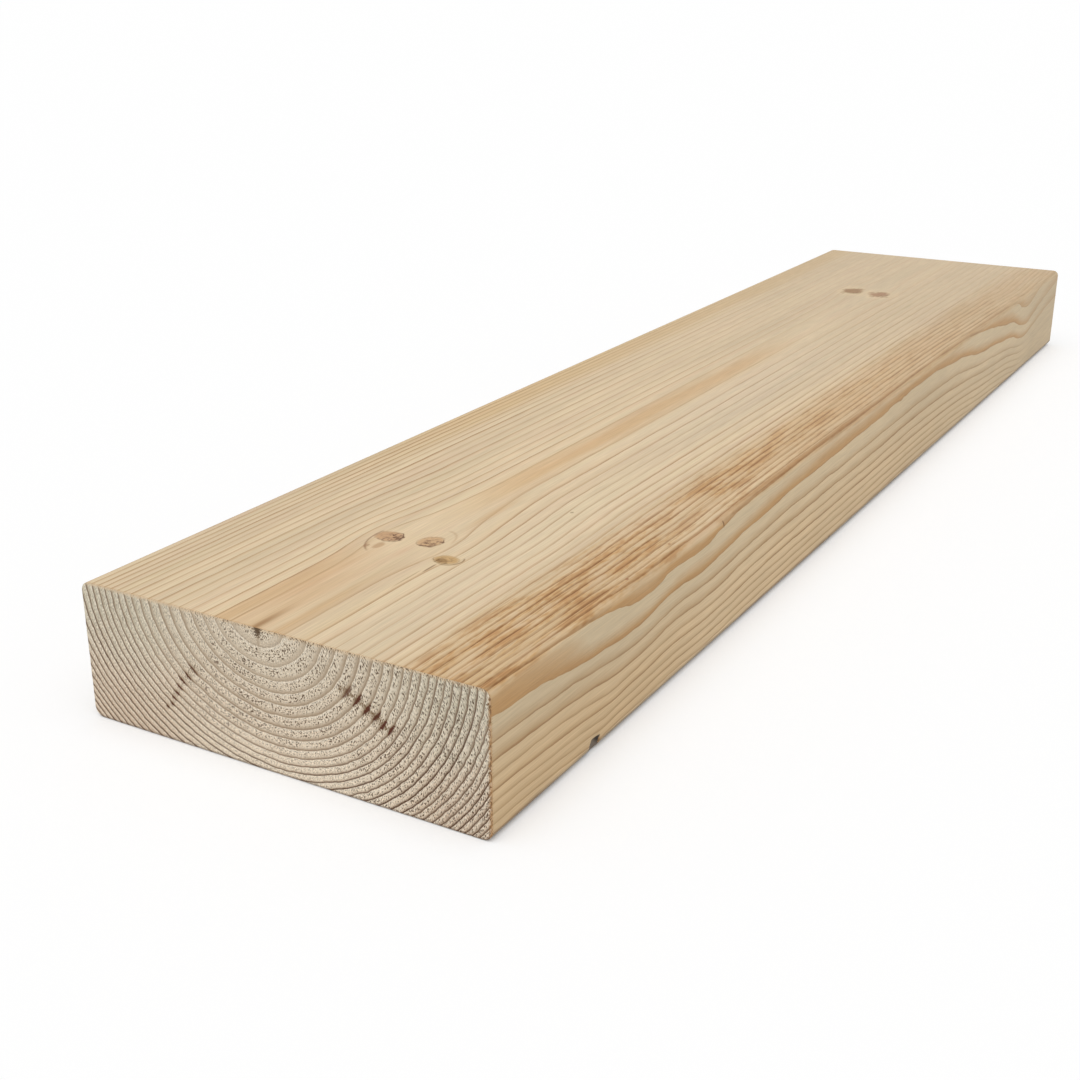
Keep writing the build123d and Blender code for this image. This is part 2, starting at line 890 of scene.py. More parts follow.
@dataclass(frozen=True)
class Streak:
    """A soft stain along the grain of the top face, in millimetres."""

    start: float
    end: float
    fade: float
    across: float
    half_width: float
    softness: float
    strength: float
    tone: Tone
    drift: float = 0.0

    def mask(self, bench: Bench, x: Field, y: Field, uneven: Field) -> Field:
        """How strongly the stain shows.

        Args:
            bench: The tree to work on.
            x: Place along the grain.
            y: Place across the width.
            uneven: Noise that frays its edges.

        Returns:
            The strength.
        """
        middle = bench.ramp(x, self.start, self.end, self.across, self.across + self.drift)
        away = abs(y - middle) + uneven * self.softness
        core = bench.step(away, self.half_width + self.softness, self.half_width - self.softness)
        run = bench.step(x, self.start - self.fade, self.start + self.fade)
        run = run * bench.step(x, self.end + self.fade, self.end - self.fade)
        return core * run * self.strength


@dataclass(frozen=True)
class Mark:
    """A small dark mark on any face, in millimetres."""

    place: Triple
    half_size: Triple
    strength: float
    tone: Tone
    raggedness: float = 0.35
    rim: Span = (1.15, 0.55)

    def mask(self, bench: Bench, place: Field, uneven: Field) -> Field:
        """How strongly the mark shows.

        Args:
            bench: The tree to work on.
            place: Place on the plank.
            uneven: Noise that frays its edges.

        Returns:
            The strength.
        """
        factors = tuple(1 / size for size in self.half_size)
        shift = tuple(-middle * factor for middle, factor in zip(self.place, factors, strict=True))
        offset = bench.vector_math("MULTIPLY_ADD", place, factors, shift)
        away = bench.reach(offset) + uneven * self.raggedness
        return bench.step(away, *self.rim) * self.strength


@dataclass(frozen=True)
class ResinRow:
    """A row of resin marks on the near end, one on each ring's line.

    Lengths are in millimetres and the bearing round the pith in radians. The marks
    change along the row from its inner to its outer end.
    """

    bearing: float
    inner: float
    outer: float
    lean: float
    half_length: Span
    half_thickness: Span
    first_strength: float
    link: float
    seed: float


class TimberFinish:
    """What both finishes of the plank share.

    Args:
        name: The material's name.
        plank_length: Length of the plank, in millimetres.
    """

    SPECULAR = 0.22

    def __init__(self, name: str, plank_length: float) -> None:
        """Makes the empty material and finds the place on the plank."""
        self.material = bpy.data.materials.new(name)
        self.material.use_nodes = True
        tree = self.material.node_tree
        tree.nodes.clear()
        self.bench = Bench(tree)
        coordinates = self.bench.node("ShaderNodeTexCoord").outputs["Object"]
        per_metre, to_middle = (1.0 / MM,) * 3, (plank_length / 2, 0.0, 0.0)
        self.place = self.bench.vector_math("MULTIPLY_ADD", coordinates, per_metre, to_middle)
        self.x, self.y, self.z = self.bench.split(self.place)

    def shade(self, colour: Field, value: Field, depth: Feed) -> Field:
        """Makes a colour lighter and darker by a value that lies round zero.

        Args:
            colour: The colour.
            value: The value, from about -1 to 1.
            depth: The change at 1, as a share.

        Returns:
            The changed colour.
        """
        factor = self.bench.math("MULTIPLY_ADD", value, depth, 1.0)
        grey = self.bench.vector(factor, factor, factor)
        return self.bench.mix(1.0, colour, grey, "MULTIPLY")

    def lay(self, colour: Field, roughness: Feed, height: Field) -> bpy.types.Material:
        """Ends the material in its shader.

        Args:
            colour: The surface colour.
            roughness: Its roughness.
            height: Its fine relief, in millimetres.

        Returns:
            The finished material.
        """
        bench = self.bench
        bump = bench.node("ShaderNodeBump", {"Strength": 1.0, "Distance": MM, "Height": height})
        shader = bench.node(
            "ShaderNodeBsdfPrincipled",
            {
                "Base Color": colour,
                "Roughness": roughness,
                "Specular IOR Level": self.SPECULAR,
                "Normal": bump.outputs[0],
            },
        )
        bench.node("ShaderNodeOutputMaterial", {"Surface": shader.outputs[0]})
        return self.material


@dataclass(frozen=True)
class PlanedTimber:
    """Finish of the four long faces: planed, with some raised grain.

    Places and sizes are in millimetres. The rest are shares, but for the seeds.
    """

    early: Tone = Tone(217, 196, 163)
    early_pink: Tone = Tone(214, 189, 158)
    early_green: Tone = Tone(215, 196, 161)
    edge_early: Tone = Tone(216, 195, 160)
    edge_early_low: Tone = Tone(216, 188, 147)
    edge_early_bright: Tone = Tone(221, 195, 156)
    late: Tone = Tone(200, 156, 102)
    edge_late: Tone = Tone(192, 147, 92)
    edge_late_low: Tone = Tone(185, 149, 104)
    line: Tone = Tone(144, 102, 58)
    rough: Tone = Tone(198, 154, 98)
    rough_line: Tone = Tone(126, 86, 48)
    blotch: Tone = Tone(174, 122, 76)
    weathered: Tone = Tone(178, 160, 135)
    halo: Tone = Tone(219, 195, 157)
    fringe: Tone = Tone(178, 132, 82)
    # Painted shade on the underside and lower arrises
    painted_low_shade: Tone = Tone(112, 98, 86)
    # Painted shade inside the torn knot, and a painted shadow at its tip
    torn: Tone = Tone(120, 110, 100)
    torn_tip_shadow: Tone = Tone(40, 34, 28)

    # Heights over which the arrises turn into the top and into the underside
    top_rise: Span = (42.2, 44.2)
    underside_rise: Span = (2.8, 0.8)

    # Fibres, and the changes of tone that they make
    fine_fibres: FibreSize = FibreSize(16.0, 0.5, 1.5, 3.0)
    slow_fibres: FibreSize = FibreSize(90.0, 4.5, 2.0, 8.0)
    fine_depth: Span = (0.18, 0.20)
    fine_rough_depth: float = 0.16
    broad_size: Triple = (170.0, 13.0, 13.0)
    broad_share: float = 1.6
    broad_depth: Span = (0.07, 0.09)
    dull_along: float = 380.0
    dull_length: float = 55.0
    dull_end: Span = (570.0, 595.0)
    dull_depth: float = 0.06
    relief: Run = (-44.0, -56.0, 0.012, 0.072)

    # Early wood: how it turns pink or green, and warmer on the lower edges
    pink: Run = (-0.1, 0.5, 0.0, 0.8)
    green: Run = (0.1, -0.5, 0.0, 0.8)
    warm_rings: Span = (-0.5, 3.5)
    warm_fade: Run = (330.0, 520.0, 0.95, 0.2)
    bright_along: Span = (80.0, 140.0)

    # Rings: those below upper_rings reach the edges near the top
    ring_waves: float = 0.3
    ring_seed: float = 12472.0
    upper_rings: float = 22.5
    faintness: Span = (0.7, 0.5)
    calm_heart: Span = (3.0, 14.0)
    least_slope: float = 0.09

    # Late wood: where in a ring it starts and ends
    late_seed: float = 12475.0
    late_spread: float = 0.4
    lower_start: Run = (80.0, 150.0, 0.26, 0.4)
    sooner_rings: Span = (3.0, 0.5)
    sooner_share: float = 0.25
    upper_start: Run = (8.0, 54.0, -1.2, 0.4)
    level_start: float = 0.1
    late_end: float = 0.97
    upper_late_gap: float = 0.1
    late_power: Span = (1.2, 2.1)
    late_share: float = 0.4

    # The line that ends a ring, and how patchy it is
    line_width: Span = (1.1, 0.1)
    line_patchiness: float = 0.9
    line_share: float = 0.6
    line_limits: Span = (0.15, 0.85)
    upper_line_loss: float = 0.45

    # How lines and late wood fade towards the far end
    back_fade: Run = (230.0, 470.0, 0.0, 0.6)
    back_across: Span = (-30.0, 0.0)
    top_fade: Run = (150.0, 500.0, 1.0, 0.85)
    top_end: Run = (495.0, 570.0, 1.0, 0.4)
    low_fade: Run = (360.0, 560.0, 1.0, 0.6)
    low_end: Run = (545.0, 588.0, 1.0, 0.25)
    high_end: Run = (545.0, 615.0, 1.0, 0.5)
    edge_weathering: Run = (380.0, 600.0, 0.0, 0.15)
    top_weathering: Run = (200.0, 600.0, 0.0, 0.42)

    # The rough band: its place, and where it is faded, pale or broken
    band_across: Span = (-41.0, -55.0)
    band_drift: float = 6.0
    band_widening: Run = (45.0, 75.0, 1.5, -0.5)
    band_fade: Run = (100.0, 640.0, 1.0, 0.45)
    gap_along: float = 140.0
    gap_length: float = 15.0
    gap_depth: float = 0.35
    pale_across: Span = (-60.0, -68.0)
    pale_along: Span = (60.0, 170.0)
    pale_fade: Run = (260.0, 420.0, 0.38, 0.0)
    fleck_size: Triple = (4.5, 1.1, 1.1)
    fleck_share: float = 0.9
    patch_size: Triple = (24.0, 5.0, 5.0)
    patch_share: float = 1.8
    breaks: Span = (0.5, -0.6)
    break_depth: Run = (120.0, 260.0, 0.6, 0.3)

    # What the rough band does to the wood
    rough_share: float = 0.76
    blotches: Span = (0.1, 0.75)
    blotch_fade: Run = (120.0, 420.0, 0.5, 0.15)
    rough_line_patchiness: float = 0.5
    rough_line_share: float = 0.55
    rough_line_limits: Span = (0.25, 0.9)
    ridge_size: Triple = (80.0, 0.7, 5.0)
    ridges: Run = (0.08, 0.4, 0.0, 0.32)
    torn_fibres: Run = (0.1, 0.45, 0.0, 0.26)

    # Gloss: late wood is smoother and the band rougher
    roughness: float = 0.62
    late_smoothness: float = 0.08
    band_roughness: float = 0.12
    roughness_limits: Span = (0.4, 0.9)

    # Knots
    outline_size: Triple = (4.0, 3.2, 3.2)
    mottle_size: Triple = (1.5, 1.0, 1.0)
    halo_share: float = 0.4
    heart_share: float = 0.85
    shade_share: float = 0.8
    brow_rise: Span = (40.0, 44.0)

    # Torn fibres at the near end, and painted shade on the underside and lower arrises
    fringe_reach: Span = (0.9, 0.1)
    fringe_fray: float = 1.5
    fringe_share: float = 0.4
    painted_low_shade_rise: Span = (3.3, 1.9)
    painted_low_shade_fray: float = 0.8
    painted_low_shade_share: float = 0.6

    # The torn knot: a wedge of painted shade that rises along the lower front arris to a dark tip
    # of painted shadow
    torn_across: Span = (-68.0, -70.0)
    torn_along: Span = (52.0, 60.0)
    torn_heights: Span = (0.4, 4.4)
    torn_rim: Span = (-0.2, 0.3)
    torn_start: Span = (50.0, 52.0)
    torn_end: Span = (60.8, 60.1)
    torn_fray: float = 0.3
    torn_shade_share: float = 0.9
    tip_height: float = 3.4
    tip_slope: float = 0.14
    tip_from: Span = (0.62, 0.95)

    knots: tuple[Knot, ...] = (
        Knot(77.7, 14.5, 4.2, 4.7, Tone(190, 149, 109), Tone(92, 58, 36), (-0.1, -1.0), 0.9),
        Knot(80.3, 0.0, 4.8, 3.8, Tone(198, 160, 118), Tone(94, 60, 38), (-0.75, -0.65), 0.9),
        Knot(69.6, -12.9, 3.4, 4.1, Tone(190, 152, 98), Tone(96, 68, 30), (-0.6, 0.2), 0.6, 0.3),
        Knot(
            530.0, 15.2, 7.0, 5.2, Tone(144, 108, 72), Tone(108, 74, 46), (-0.5, -0.5), 0.0,
            softness=0.5, raggedness=0.7,
        ),
        Knot(
            527.8, -1.0, 6.6, 5.4, Tone(158, 120, 90), Tone(120, 88, 62), (-0.5, -0.7), 0.0,
            softness=0.5, raggedness=0.7,
        ),
    )
    brows: tuple[Brow, ...] = (
        Brow(77.8, 10.4, 14.6, 9.0, (-0.48, 0.88), 0.76, 0.32, 0.65, Tone(132, 92, 60)),
        Brow(70.4, -12.8, 5.0, 5.4, (-0.45, -0.89), 0.5, 0.3, 0.8, Tone(128, 92, 50)),
        Brow(81.5, -0.2, 9.5, 6.2, (0.75, -0.65), 0.7, 0.4, 0.3, Tone(164, 124, 84)),
    )
    streaks: tuple[Streak, ...] = (
        Streak(118.0, 380.0, 46.0, 6.2, 5.4, 4.6, 0.66, Tone(202, 162, 112), -3.2),
        Streak(-60.0, 58.0, 24.0, 17.0, 3.6, 4.0, 0.55, Tone(200, 161, 113)),
        Streak(-60.0, 40.0, 28.0, -1.8, 1.4, 1.8, 0.5, Tone(198, 156, 106)),
        Streak(-40.0, 50.0, 26.0, 6.4, 4.0, 3.5, 0.42, Tone(190, 150, 104)),
        Streak(-40.0, 12.0, 11.0, 5.4, 1.3, 1.4, 0.85, Tone(138, 98, 56)),
        Streak(-40.0, 66.0, 20.0, -69.4, 0.1, 0.4, 0.75, Tone(136, 92, 52)),
        Streak(-40.0, 50.0, 14.0, -65.6, 2.4, 1.4, 0.4, Tone(208, 178, 134)),
        Streak(80.0, 560.0, 45.0, -70.6, 0.9, 0.9, 0.38, Tone(158, 114, 66)),
        Streak(165.0, 300.0, 28.0, -70.4, 0.9, 0.9, 0.5, Tone(158, 112, 64)),
        Streak(150.0, 690.0, 90.0, 66.0, 8.0, 6.0, 0.5, Tone(203, 168, 112)),
        Streak(20.0, 64.0, 14.0, 11.5, 1.6, 2.4, 0.45, Tone(196, 154, 108)),
        Streak(490.0, 522.0, 24.0, -51.0, 5.0, 4.5, 0.5, Tone(192, 160, 114)),
        Streak(-40.0, 84.0, 30.0, 7.0, 13.0, 7.0, 0.16, Tone(198, 156, 106)),
        Streak(-40.0, 170.0, 50.0, -27.0, 9.0, 6.0, 0.3, Tone(223, 206, 176)),
        Streak(210.0, 400.0, 70.0, -18.0, 14.0, 8.0, 0.25, Tone(214, 199, 176)),
        Streak(66.0, 73.0, 6.0, 3.0, 1.2, 2.0, 0.35, Tone(190, 146, 110)),
        Streak(100.0, 128.0, 14.0, -3.5, 1.6, 1.8, 0.4, Tone(198, 156, 106)),
    )
    marks: tuple[Mark, ...] = (
        Mark((127.0, -25.8, 45.0), (0.9, 0.7, 2.0), 0.6, Tone(140, 118, 88)),
        Mark((61.4, -12.2, 45.0), (3.8, 0.4, 1.0), 0.65, Tone(116, 80, 44)),
        Mark((50.0, -10.9, 45.0), (9.0, 0.3, 1.0), 0.45, Tone(140, 104, 66)),
        Mark((67.4, 16.0, 45.0), (1.6, 0.9, 1.0), 0.5, Tone(146, 106, 72)),
        Mark((69.2, 12.8, 45.0), (3.2, 1.6, 1.0), 0.55, Tone(172, 130, 88)),
        Mark((68.4, -12.0, 45.0), (1.9, 2.3, 1.0), 0.6, Tone(122, 88, 44)),
        Mark((148.0, -72.4, 43.0), (0.6, 1.0, 1.7), 0.8, Tone(122, 90, 58)),
        Mark((258.0, -72.4, 2.0), (1.0, 1.0, 0.8), 0.8, Tone(96, 76, 58)),
        Mark((84.0, -68.6, 45.0), (0.8, 0.5, 2.0), 0.7, Tone(150, 96, 66)),
        Mark((117.0, -66.9, 45.0), (0.7, 0.5, 2.0), 0.7, Tone(150, 96, 66)),
    )

    def build(
        self, plank_length: float, rings: bpy.types.NodeTree, fibres: bpy.types.NodeTree
    ) -> bpy.types.Material:
        """Makes the material.

        Args:
            plank_length: Length of the plank, in millimetres.
            rings: The group of growth rings.
            fibres: The group of fibres.

        Returns:
            The material.
        """
        finish = TimberFinish("planed timber", plank_length)
        bench, place = finish.bench, finish.place
        x, y, z = finish.x, finish.y, finish.z
        ring = bench.place(rings, {"Place": place, "Fine Waves": self.ring_waves})
        fine = self.fine_fibres.lay(bench, fibres, place)["Streak"]
        slow = self.slow_fibres.lay(bench, fibres, place)
        drift, patchy = slow["Streak"], slow["Cross Streak"]
        top = bench.step(z, *self.top_rise)
        level = bench.clamp(top + bench.step(z, *self.underside_rise))
        upper = bench.math("LESS_THAN", ring["Ring"], self.upper_rings)

        late, line = self._ring_parts(bench, ring, x, level, upper)
        fading = self._fading(bench, x, y, level, upper)
        line = line * fading
        rough, patches = self._rough_band(bench, place, x, y, drift)
        rough = rough * top

        colour = self._early_wood(bench, ring["Ring"], x, drift, level)
        colour = bench.mix(late * self.late_share * level, colour, self.late.rgba)
        edge_late = bench.mix(upper, self.edge_late_low.rgba, self.edge_late.rgba)
        colour = bench.mix(late * (1.0 - level) * fading, colour, edge_late)
        colour = self._broad_shades(finish, patchy, level, colour)
        colour = bench.mix(rough * self.rough_share, colour, self.rough.rgba)
        blotches = bench.step(patches, *self.blotches) * bench.ramp(x, *self.blotch_fade)
        colour = bench.mix(blotches * rough, colour, self.blotch.rgba)
        for streak in self.streaks:
            colour = bench.mix(streak.mask(bench, x, y, patchy) * top, colour, streak.tone.rgba)
        clear = bench.clamp(patchy * self.line_patchiness + self.line_share, *self.line_limits)
        clear = clear * (1.0 - upper * self.upper_line_loss * (1.0 - level))
        colour = bench.mix(line * clear, colour, self.line.rgba)
        colour = self._rough_lines(finish, line * rough, rough, patches, fine, colour)
        edge_weathering = bench.ramp(x, *self.edge_weathering)
        weathering = bench.between(top, edge_weathering, bench.ramp(x, *self.top_weathering))
        colour = bench.mix(weathering, colour, self.weathered.rgba)
        colour = self._knots(finish, colour)
        fine_depth = rough * self.fine_rough_depth + bench.between(level, *self.fine_depth)
        colour = finish.shade(colour, fine, bench.clamp(fine_depth))
        colour = self._edges(finish, colour, fine)

        roughness = rough * self.band_roughness - late * self.late_smoothness + self.roughness
        roughness = bench.clamp(roughness, *self.roughness_limits)
        return finish.lay(colour, roughness, fine * bench.soft(y, *self.relief))

    def _early_wood(
        self, bench: Bench, ring: Field, x: Field, drift: Field, level: Field
    ) -> Field:
        """Colour of the early wood, which drifts on the top and is warmer low on the edges.

        Args:
            bench: The tree to work on.
            ring: Number of the ring.
            x: Place along the grain.
            drift: Slow change of tone along the grain.
            level: 1 on the top and underside, 0 on the edges.

        Returns:
            The colour.
        """
        first_warm, last_warm = (self.upper_rings + count for count in self.warm_rings)
        warmth = bench.step(ring, first_warm, last_warm) * bench.ramp(x, *self.warm_fade)
        bright = bench.ramp(x, *self.bright_along, 0.0, 1.0)
        edge_low = bench.mix(bright, self.edge_early_low.rgba, self.edge_early_bright.rgba)
        edge = bench.mix(warmth, self.edge_early.rgba, edge_low)
        colour = bench.mix(bench.soft(drift, *self.pink), self.early.rgba, self.early_pink.rgba)
        colour = bench.mix(bench.soft(drift, *self.green), colour, self.early_green.rgba)
        return bench.mix(level, edge, colour)

    def _broad_shades(
        self, finish: TimberFinish, patchy: Field, level: Field, colour: Field
    ) -> Field:
        """Broad lighter and darker stretches along the grain.

        Args:
            finish: The finish they go into.
            patchy: Slow change across the grain.
            level: 1 on the top and underside, 0 on the edges.
            colour: The colour below.

        Returns:
            The shaded colour.
        """
        bench, x = finish.bench, finish.x
        broad = bench.noise(finish.place, self.broad_size, Noise.BROAD_SHADE) * self.broad_share
        colour = finish.shade(colour, patchy + broad, bench.between(level, *self.broad_depth))
        dull = bench.bell(x, self.dull_along, self.dull_length) + bench.step(x, *self.dull_end)
        return finish.shade(colour, dull, (level - 1.0) * self.dull_depth)

    def _ring_parts(
        self, bench: Bench, ring: Mapping[str, Field], x: Field, level: Field, upper: Field
    ) -> tuple[Field, Field]:
        """Late wood of each ring, and the dark line that ends it.

        Args:
            bench: The tree to work on.
            ring: The growth rings.
            x: Place along the grain.
            level: 1 on the top and underside, 0 on the edges.
            upper: 1 in the inner rings, which reach the edges near the top, 0 in the others.

        Returns:
            How strongly the late wood shows, and the line.
        """
        number, phase, steep = ring["Ring"], ring["Phase"], ring["Steepness"]
        flat = bench.math("SQRT", bench.clamp(1.0 - steep * steep))
        slope = bench.math("MAXIMUM", bench.between(level, steep, flat), self.least_slope)
        to_line = (1.0 - phase) * ring["Width"] / slope
        faint = (1.0 - bench.chance(number, self.ring_seed)) * bench.between(level, *self.faintness)
        strength = (1.0 - faint) * bench.step(ring["Radius"], *self.calm_heart)

        lower = bench.chance(number, self.late_seed) * self.late_spread
        lower = lower + bench.ramp(x, *self.lower_start)
        first_soon, last_soon = (self.upper_rings + count for count in self.sooner_rings)
        lower = lower - bench.step(number, first_soon, last_soon) * self.sooner_share
        on_edge = bench.between(upper, lower, bench.ramp(x, *self.upper_start))
        start = bench.between(level, on_edge, self.level_start)
        end = self.late_end - upper * (1.0 - level) * self.upper_late_gap
        late = bench.ramp(phase, start, end, 0.0, 1.0)
        late = bench.math("POWER", late, bench.between(level, *self.late_power))
        return late * strength, bench.step(to_line, *self.line_width) * strength

    def _fading(self, bench: Bench, x: Field, y: Field, level: Field, upper: Field) -> Field:
        """How the rings get fainter towards the far end.

        Args:
            bench: The tree to work on.
            x: Place along the grain.
            y: Place across the width.
            level: 1 on the top and underside, 0 on the edges.
            upper: 1 in the inner rings, 0 in the others.

        Returns:
            What the lines and the late wood are multiplied by.
        """
        back = bench.ramp(x, *self.back_fade) * bench.step(y, *self.back_across)
        top = bench.ramp(x, *self.top_fade) * (1.0 - back) * bench.soft(x, *self.top_end)
        low = bench.ramp(x, *self.low_fade) * bench.soft(x, *self.low_end)
        edge = bench.between(upper, low, bench.soft(x, *self.high_end))
        return bench.between(level, edge, top)

    def _rough_band(
        self, bench: Bench, place: Field, x: Field, y: Field, drift: Field
    ) -> tuple[Field, Field]:
        """Rough orange-brown band of raised grain along the front of the top face.

        Args:
            bench: The tree to work on.
            place: Place on the plank.
            x: Place along the grain.
            y: Place across the width.
            drift: Slow change of tone along the grain.

        Returns:
            How strongly the band shows, and the noise that makes it patchy.
        """
        patches = bench.noise(place, self.patch_size, Noise.BAND_PATCHES) * self.patch_share
        flecks = bench.noise(place, self.fleck_size, Noise.BAND_FLECKS) * self.fleck_share
        patches = flecks + patches
        pale = bench.step(y, *self.pale_across) * bench.step(x, *self.pale_along)
        pale = pale * bench.ramp(x, *self.pale_fade)
        across = y + drift * self.band_drift - bench.ramp(x, *self.band_widening)
        core = bench.step(across, *self.band_across) * (1.0 - pale)
        gap = 1.0 - bench.bell(x, self.gap_along, self.gap_length) * self.gap_depth
        whole = 1.0 - bench.step(patches, *self.breaks) * bench.ramp(x, *self.break_depth)
        return bench.clamp(core * gap * bench.ramp(x, *self.band_fade) * whole), patches

    def _rough_lines(
        self,
        finish: TimberFinish,
        line: Field,
        rough: Field,
        patches: Field,
        fine: Field,
        colour: Field,
    ) -> Field:
        """Darker lines, fine ridges and torn fibres of the rough band.

        Args:
            finish: The finish they go into.
            line: The rings' lines in the band.
            rough: How strongly the band shows.
            patches: The noise that makes it patchy.
            fine: Fine fibres.
            colour: The colour below.

        Returns:
            The colour with the lines.
        """
        bench, tone = finish.bench, self.rough_line.rgba
        shown = patches * self.rough_line_patchiness + self.rough_line_share
        colour = bench.mix(line * bench.clamp(shown, *self.rough_line_limits), colour, tone)
        ridges = bench.noise(finish.place, self.ridge_size, Noise.BAND_RIDGES)
        raised = bench.soft(ridges, *self.ridges) + bench.soft(fine, *self.torn_fibres)
        return bench.mix(raised * rough, colour, tone)

    def _knots(self, finish: TimberFinish, colour: Field) -> Field:
        """Lays the knots with their arcs, and the small dark marks, over the wood.

        Args:
            finish: The finish they go into.
            colour: The colour below.

        Returns:
            The colour with the knots.
        """
        bench, place = finish.bench, finish.place
        shape = KnotShape().build()
        uneven = bench.noise(place, self.outline_size, Noise.KNOT_OUTLINES)
        mottle = bench.noise(place, self.mottle_size, Noise.KNOT_MOTTLE)
        for knot in self.knots:
            mask = bench.place(
                shape,
                {
                    "Place": place,
                    "Uneven": uneven,
                    "Mottle": mottle,
                    "Along": knot.along,
                    "Across": knot.across,
                    "Half Length": knot.half_length,
                    "Half Width": knot.half_width,
                    "Dark Along": knot.facing[0],
                    "Dark Across": knot.facing[1],
                    "Softness": knot.softness,
                    "Raggedness": knot.raggedness,
                },
            )
            colour = bench.mix(mask["Halo"] * self.halo_share, colour, self.halo.rgba)
            colour = bench.mix(mask["Heart"] * self.heart_share, colour, knot.heart.rgba)
            colour = bench.mix(mask["Rings"] * knot.rings, colour, knot.dark.rgba)
            colour = bench.mix(mask["Shade"] * self.shade_share, colour, knot.dark.rgba)
        shown = bench.step(finish.z, *self.brow_rise)
        for brow in self.brows:
            arc = brow.mask(bench, finish.x, finish.y) * shown
            colour = bench.mix(arc, colour, brow.tone.rgba)
        for mark in self.marks:
            colour = bench.mix(mark.mask(bench, place, uneven), colour, mark.tone.rgba)
        return colour

    def _edges(self, finish: TimberFinish, colour: Field, fine: Field) -> Field:
        """Torn fibres at the near end, painted shade on the underside and lower arrises, and the
        torn knot filled with painted shade and a painted shadow at its tip.

        Args:
            finish: The finish they go into.
            colour: The colour below.
            fine: Fine fibres.

        Returns:
            The colour with the edges.
        """
        bench, x, y, z = finish.bench, finish.x, finish.y, finish.z
        fringe = bench.step(x + fine * self.fringe_fray, *self.fringe_reach)
        colour = bench.mix(fringe * self.fringe_share, colour, self.fringe.rgba)
        # Painted shade: the underside and the lower arrises darker and greyer
        painted_low_shade = bench.step(z + fine * self.painted_low_shade_fray, *self.painted_low_shade_rise)
        colour = bench.mix(painted_low_shade * self.painted_low_shade_share, colour, self.painted_low_shade.rgba)
        # The torn knot: painted shade in its hollow, and a painted shadow at the tip
        along, fray = bench.ramp(x, *self.torn_along, 0.0, 1.0), fine * self.torn_fray
        below = bench.between(along, *self.torn_heights) - z + fray
        torn = bench.step(below, *self.torn_rim) * bench.step(y, *self.torn_across)
        torn = torn * bench.step(x, *self.torn_start) * bench.step(x + fray, *self.torn_end)
        tip = bench.step(along + (z - self.tip_height) * self.tip_slope, *self.tip_from)
        colour = bench.mix(torn * self.torn_shade_share, colour, self.torn.rgba)
        return bench.mix(torn * tip * self.torn_shade_share, colour, self.torn_tip_shadow.rgba)


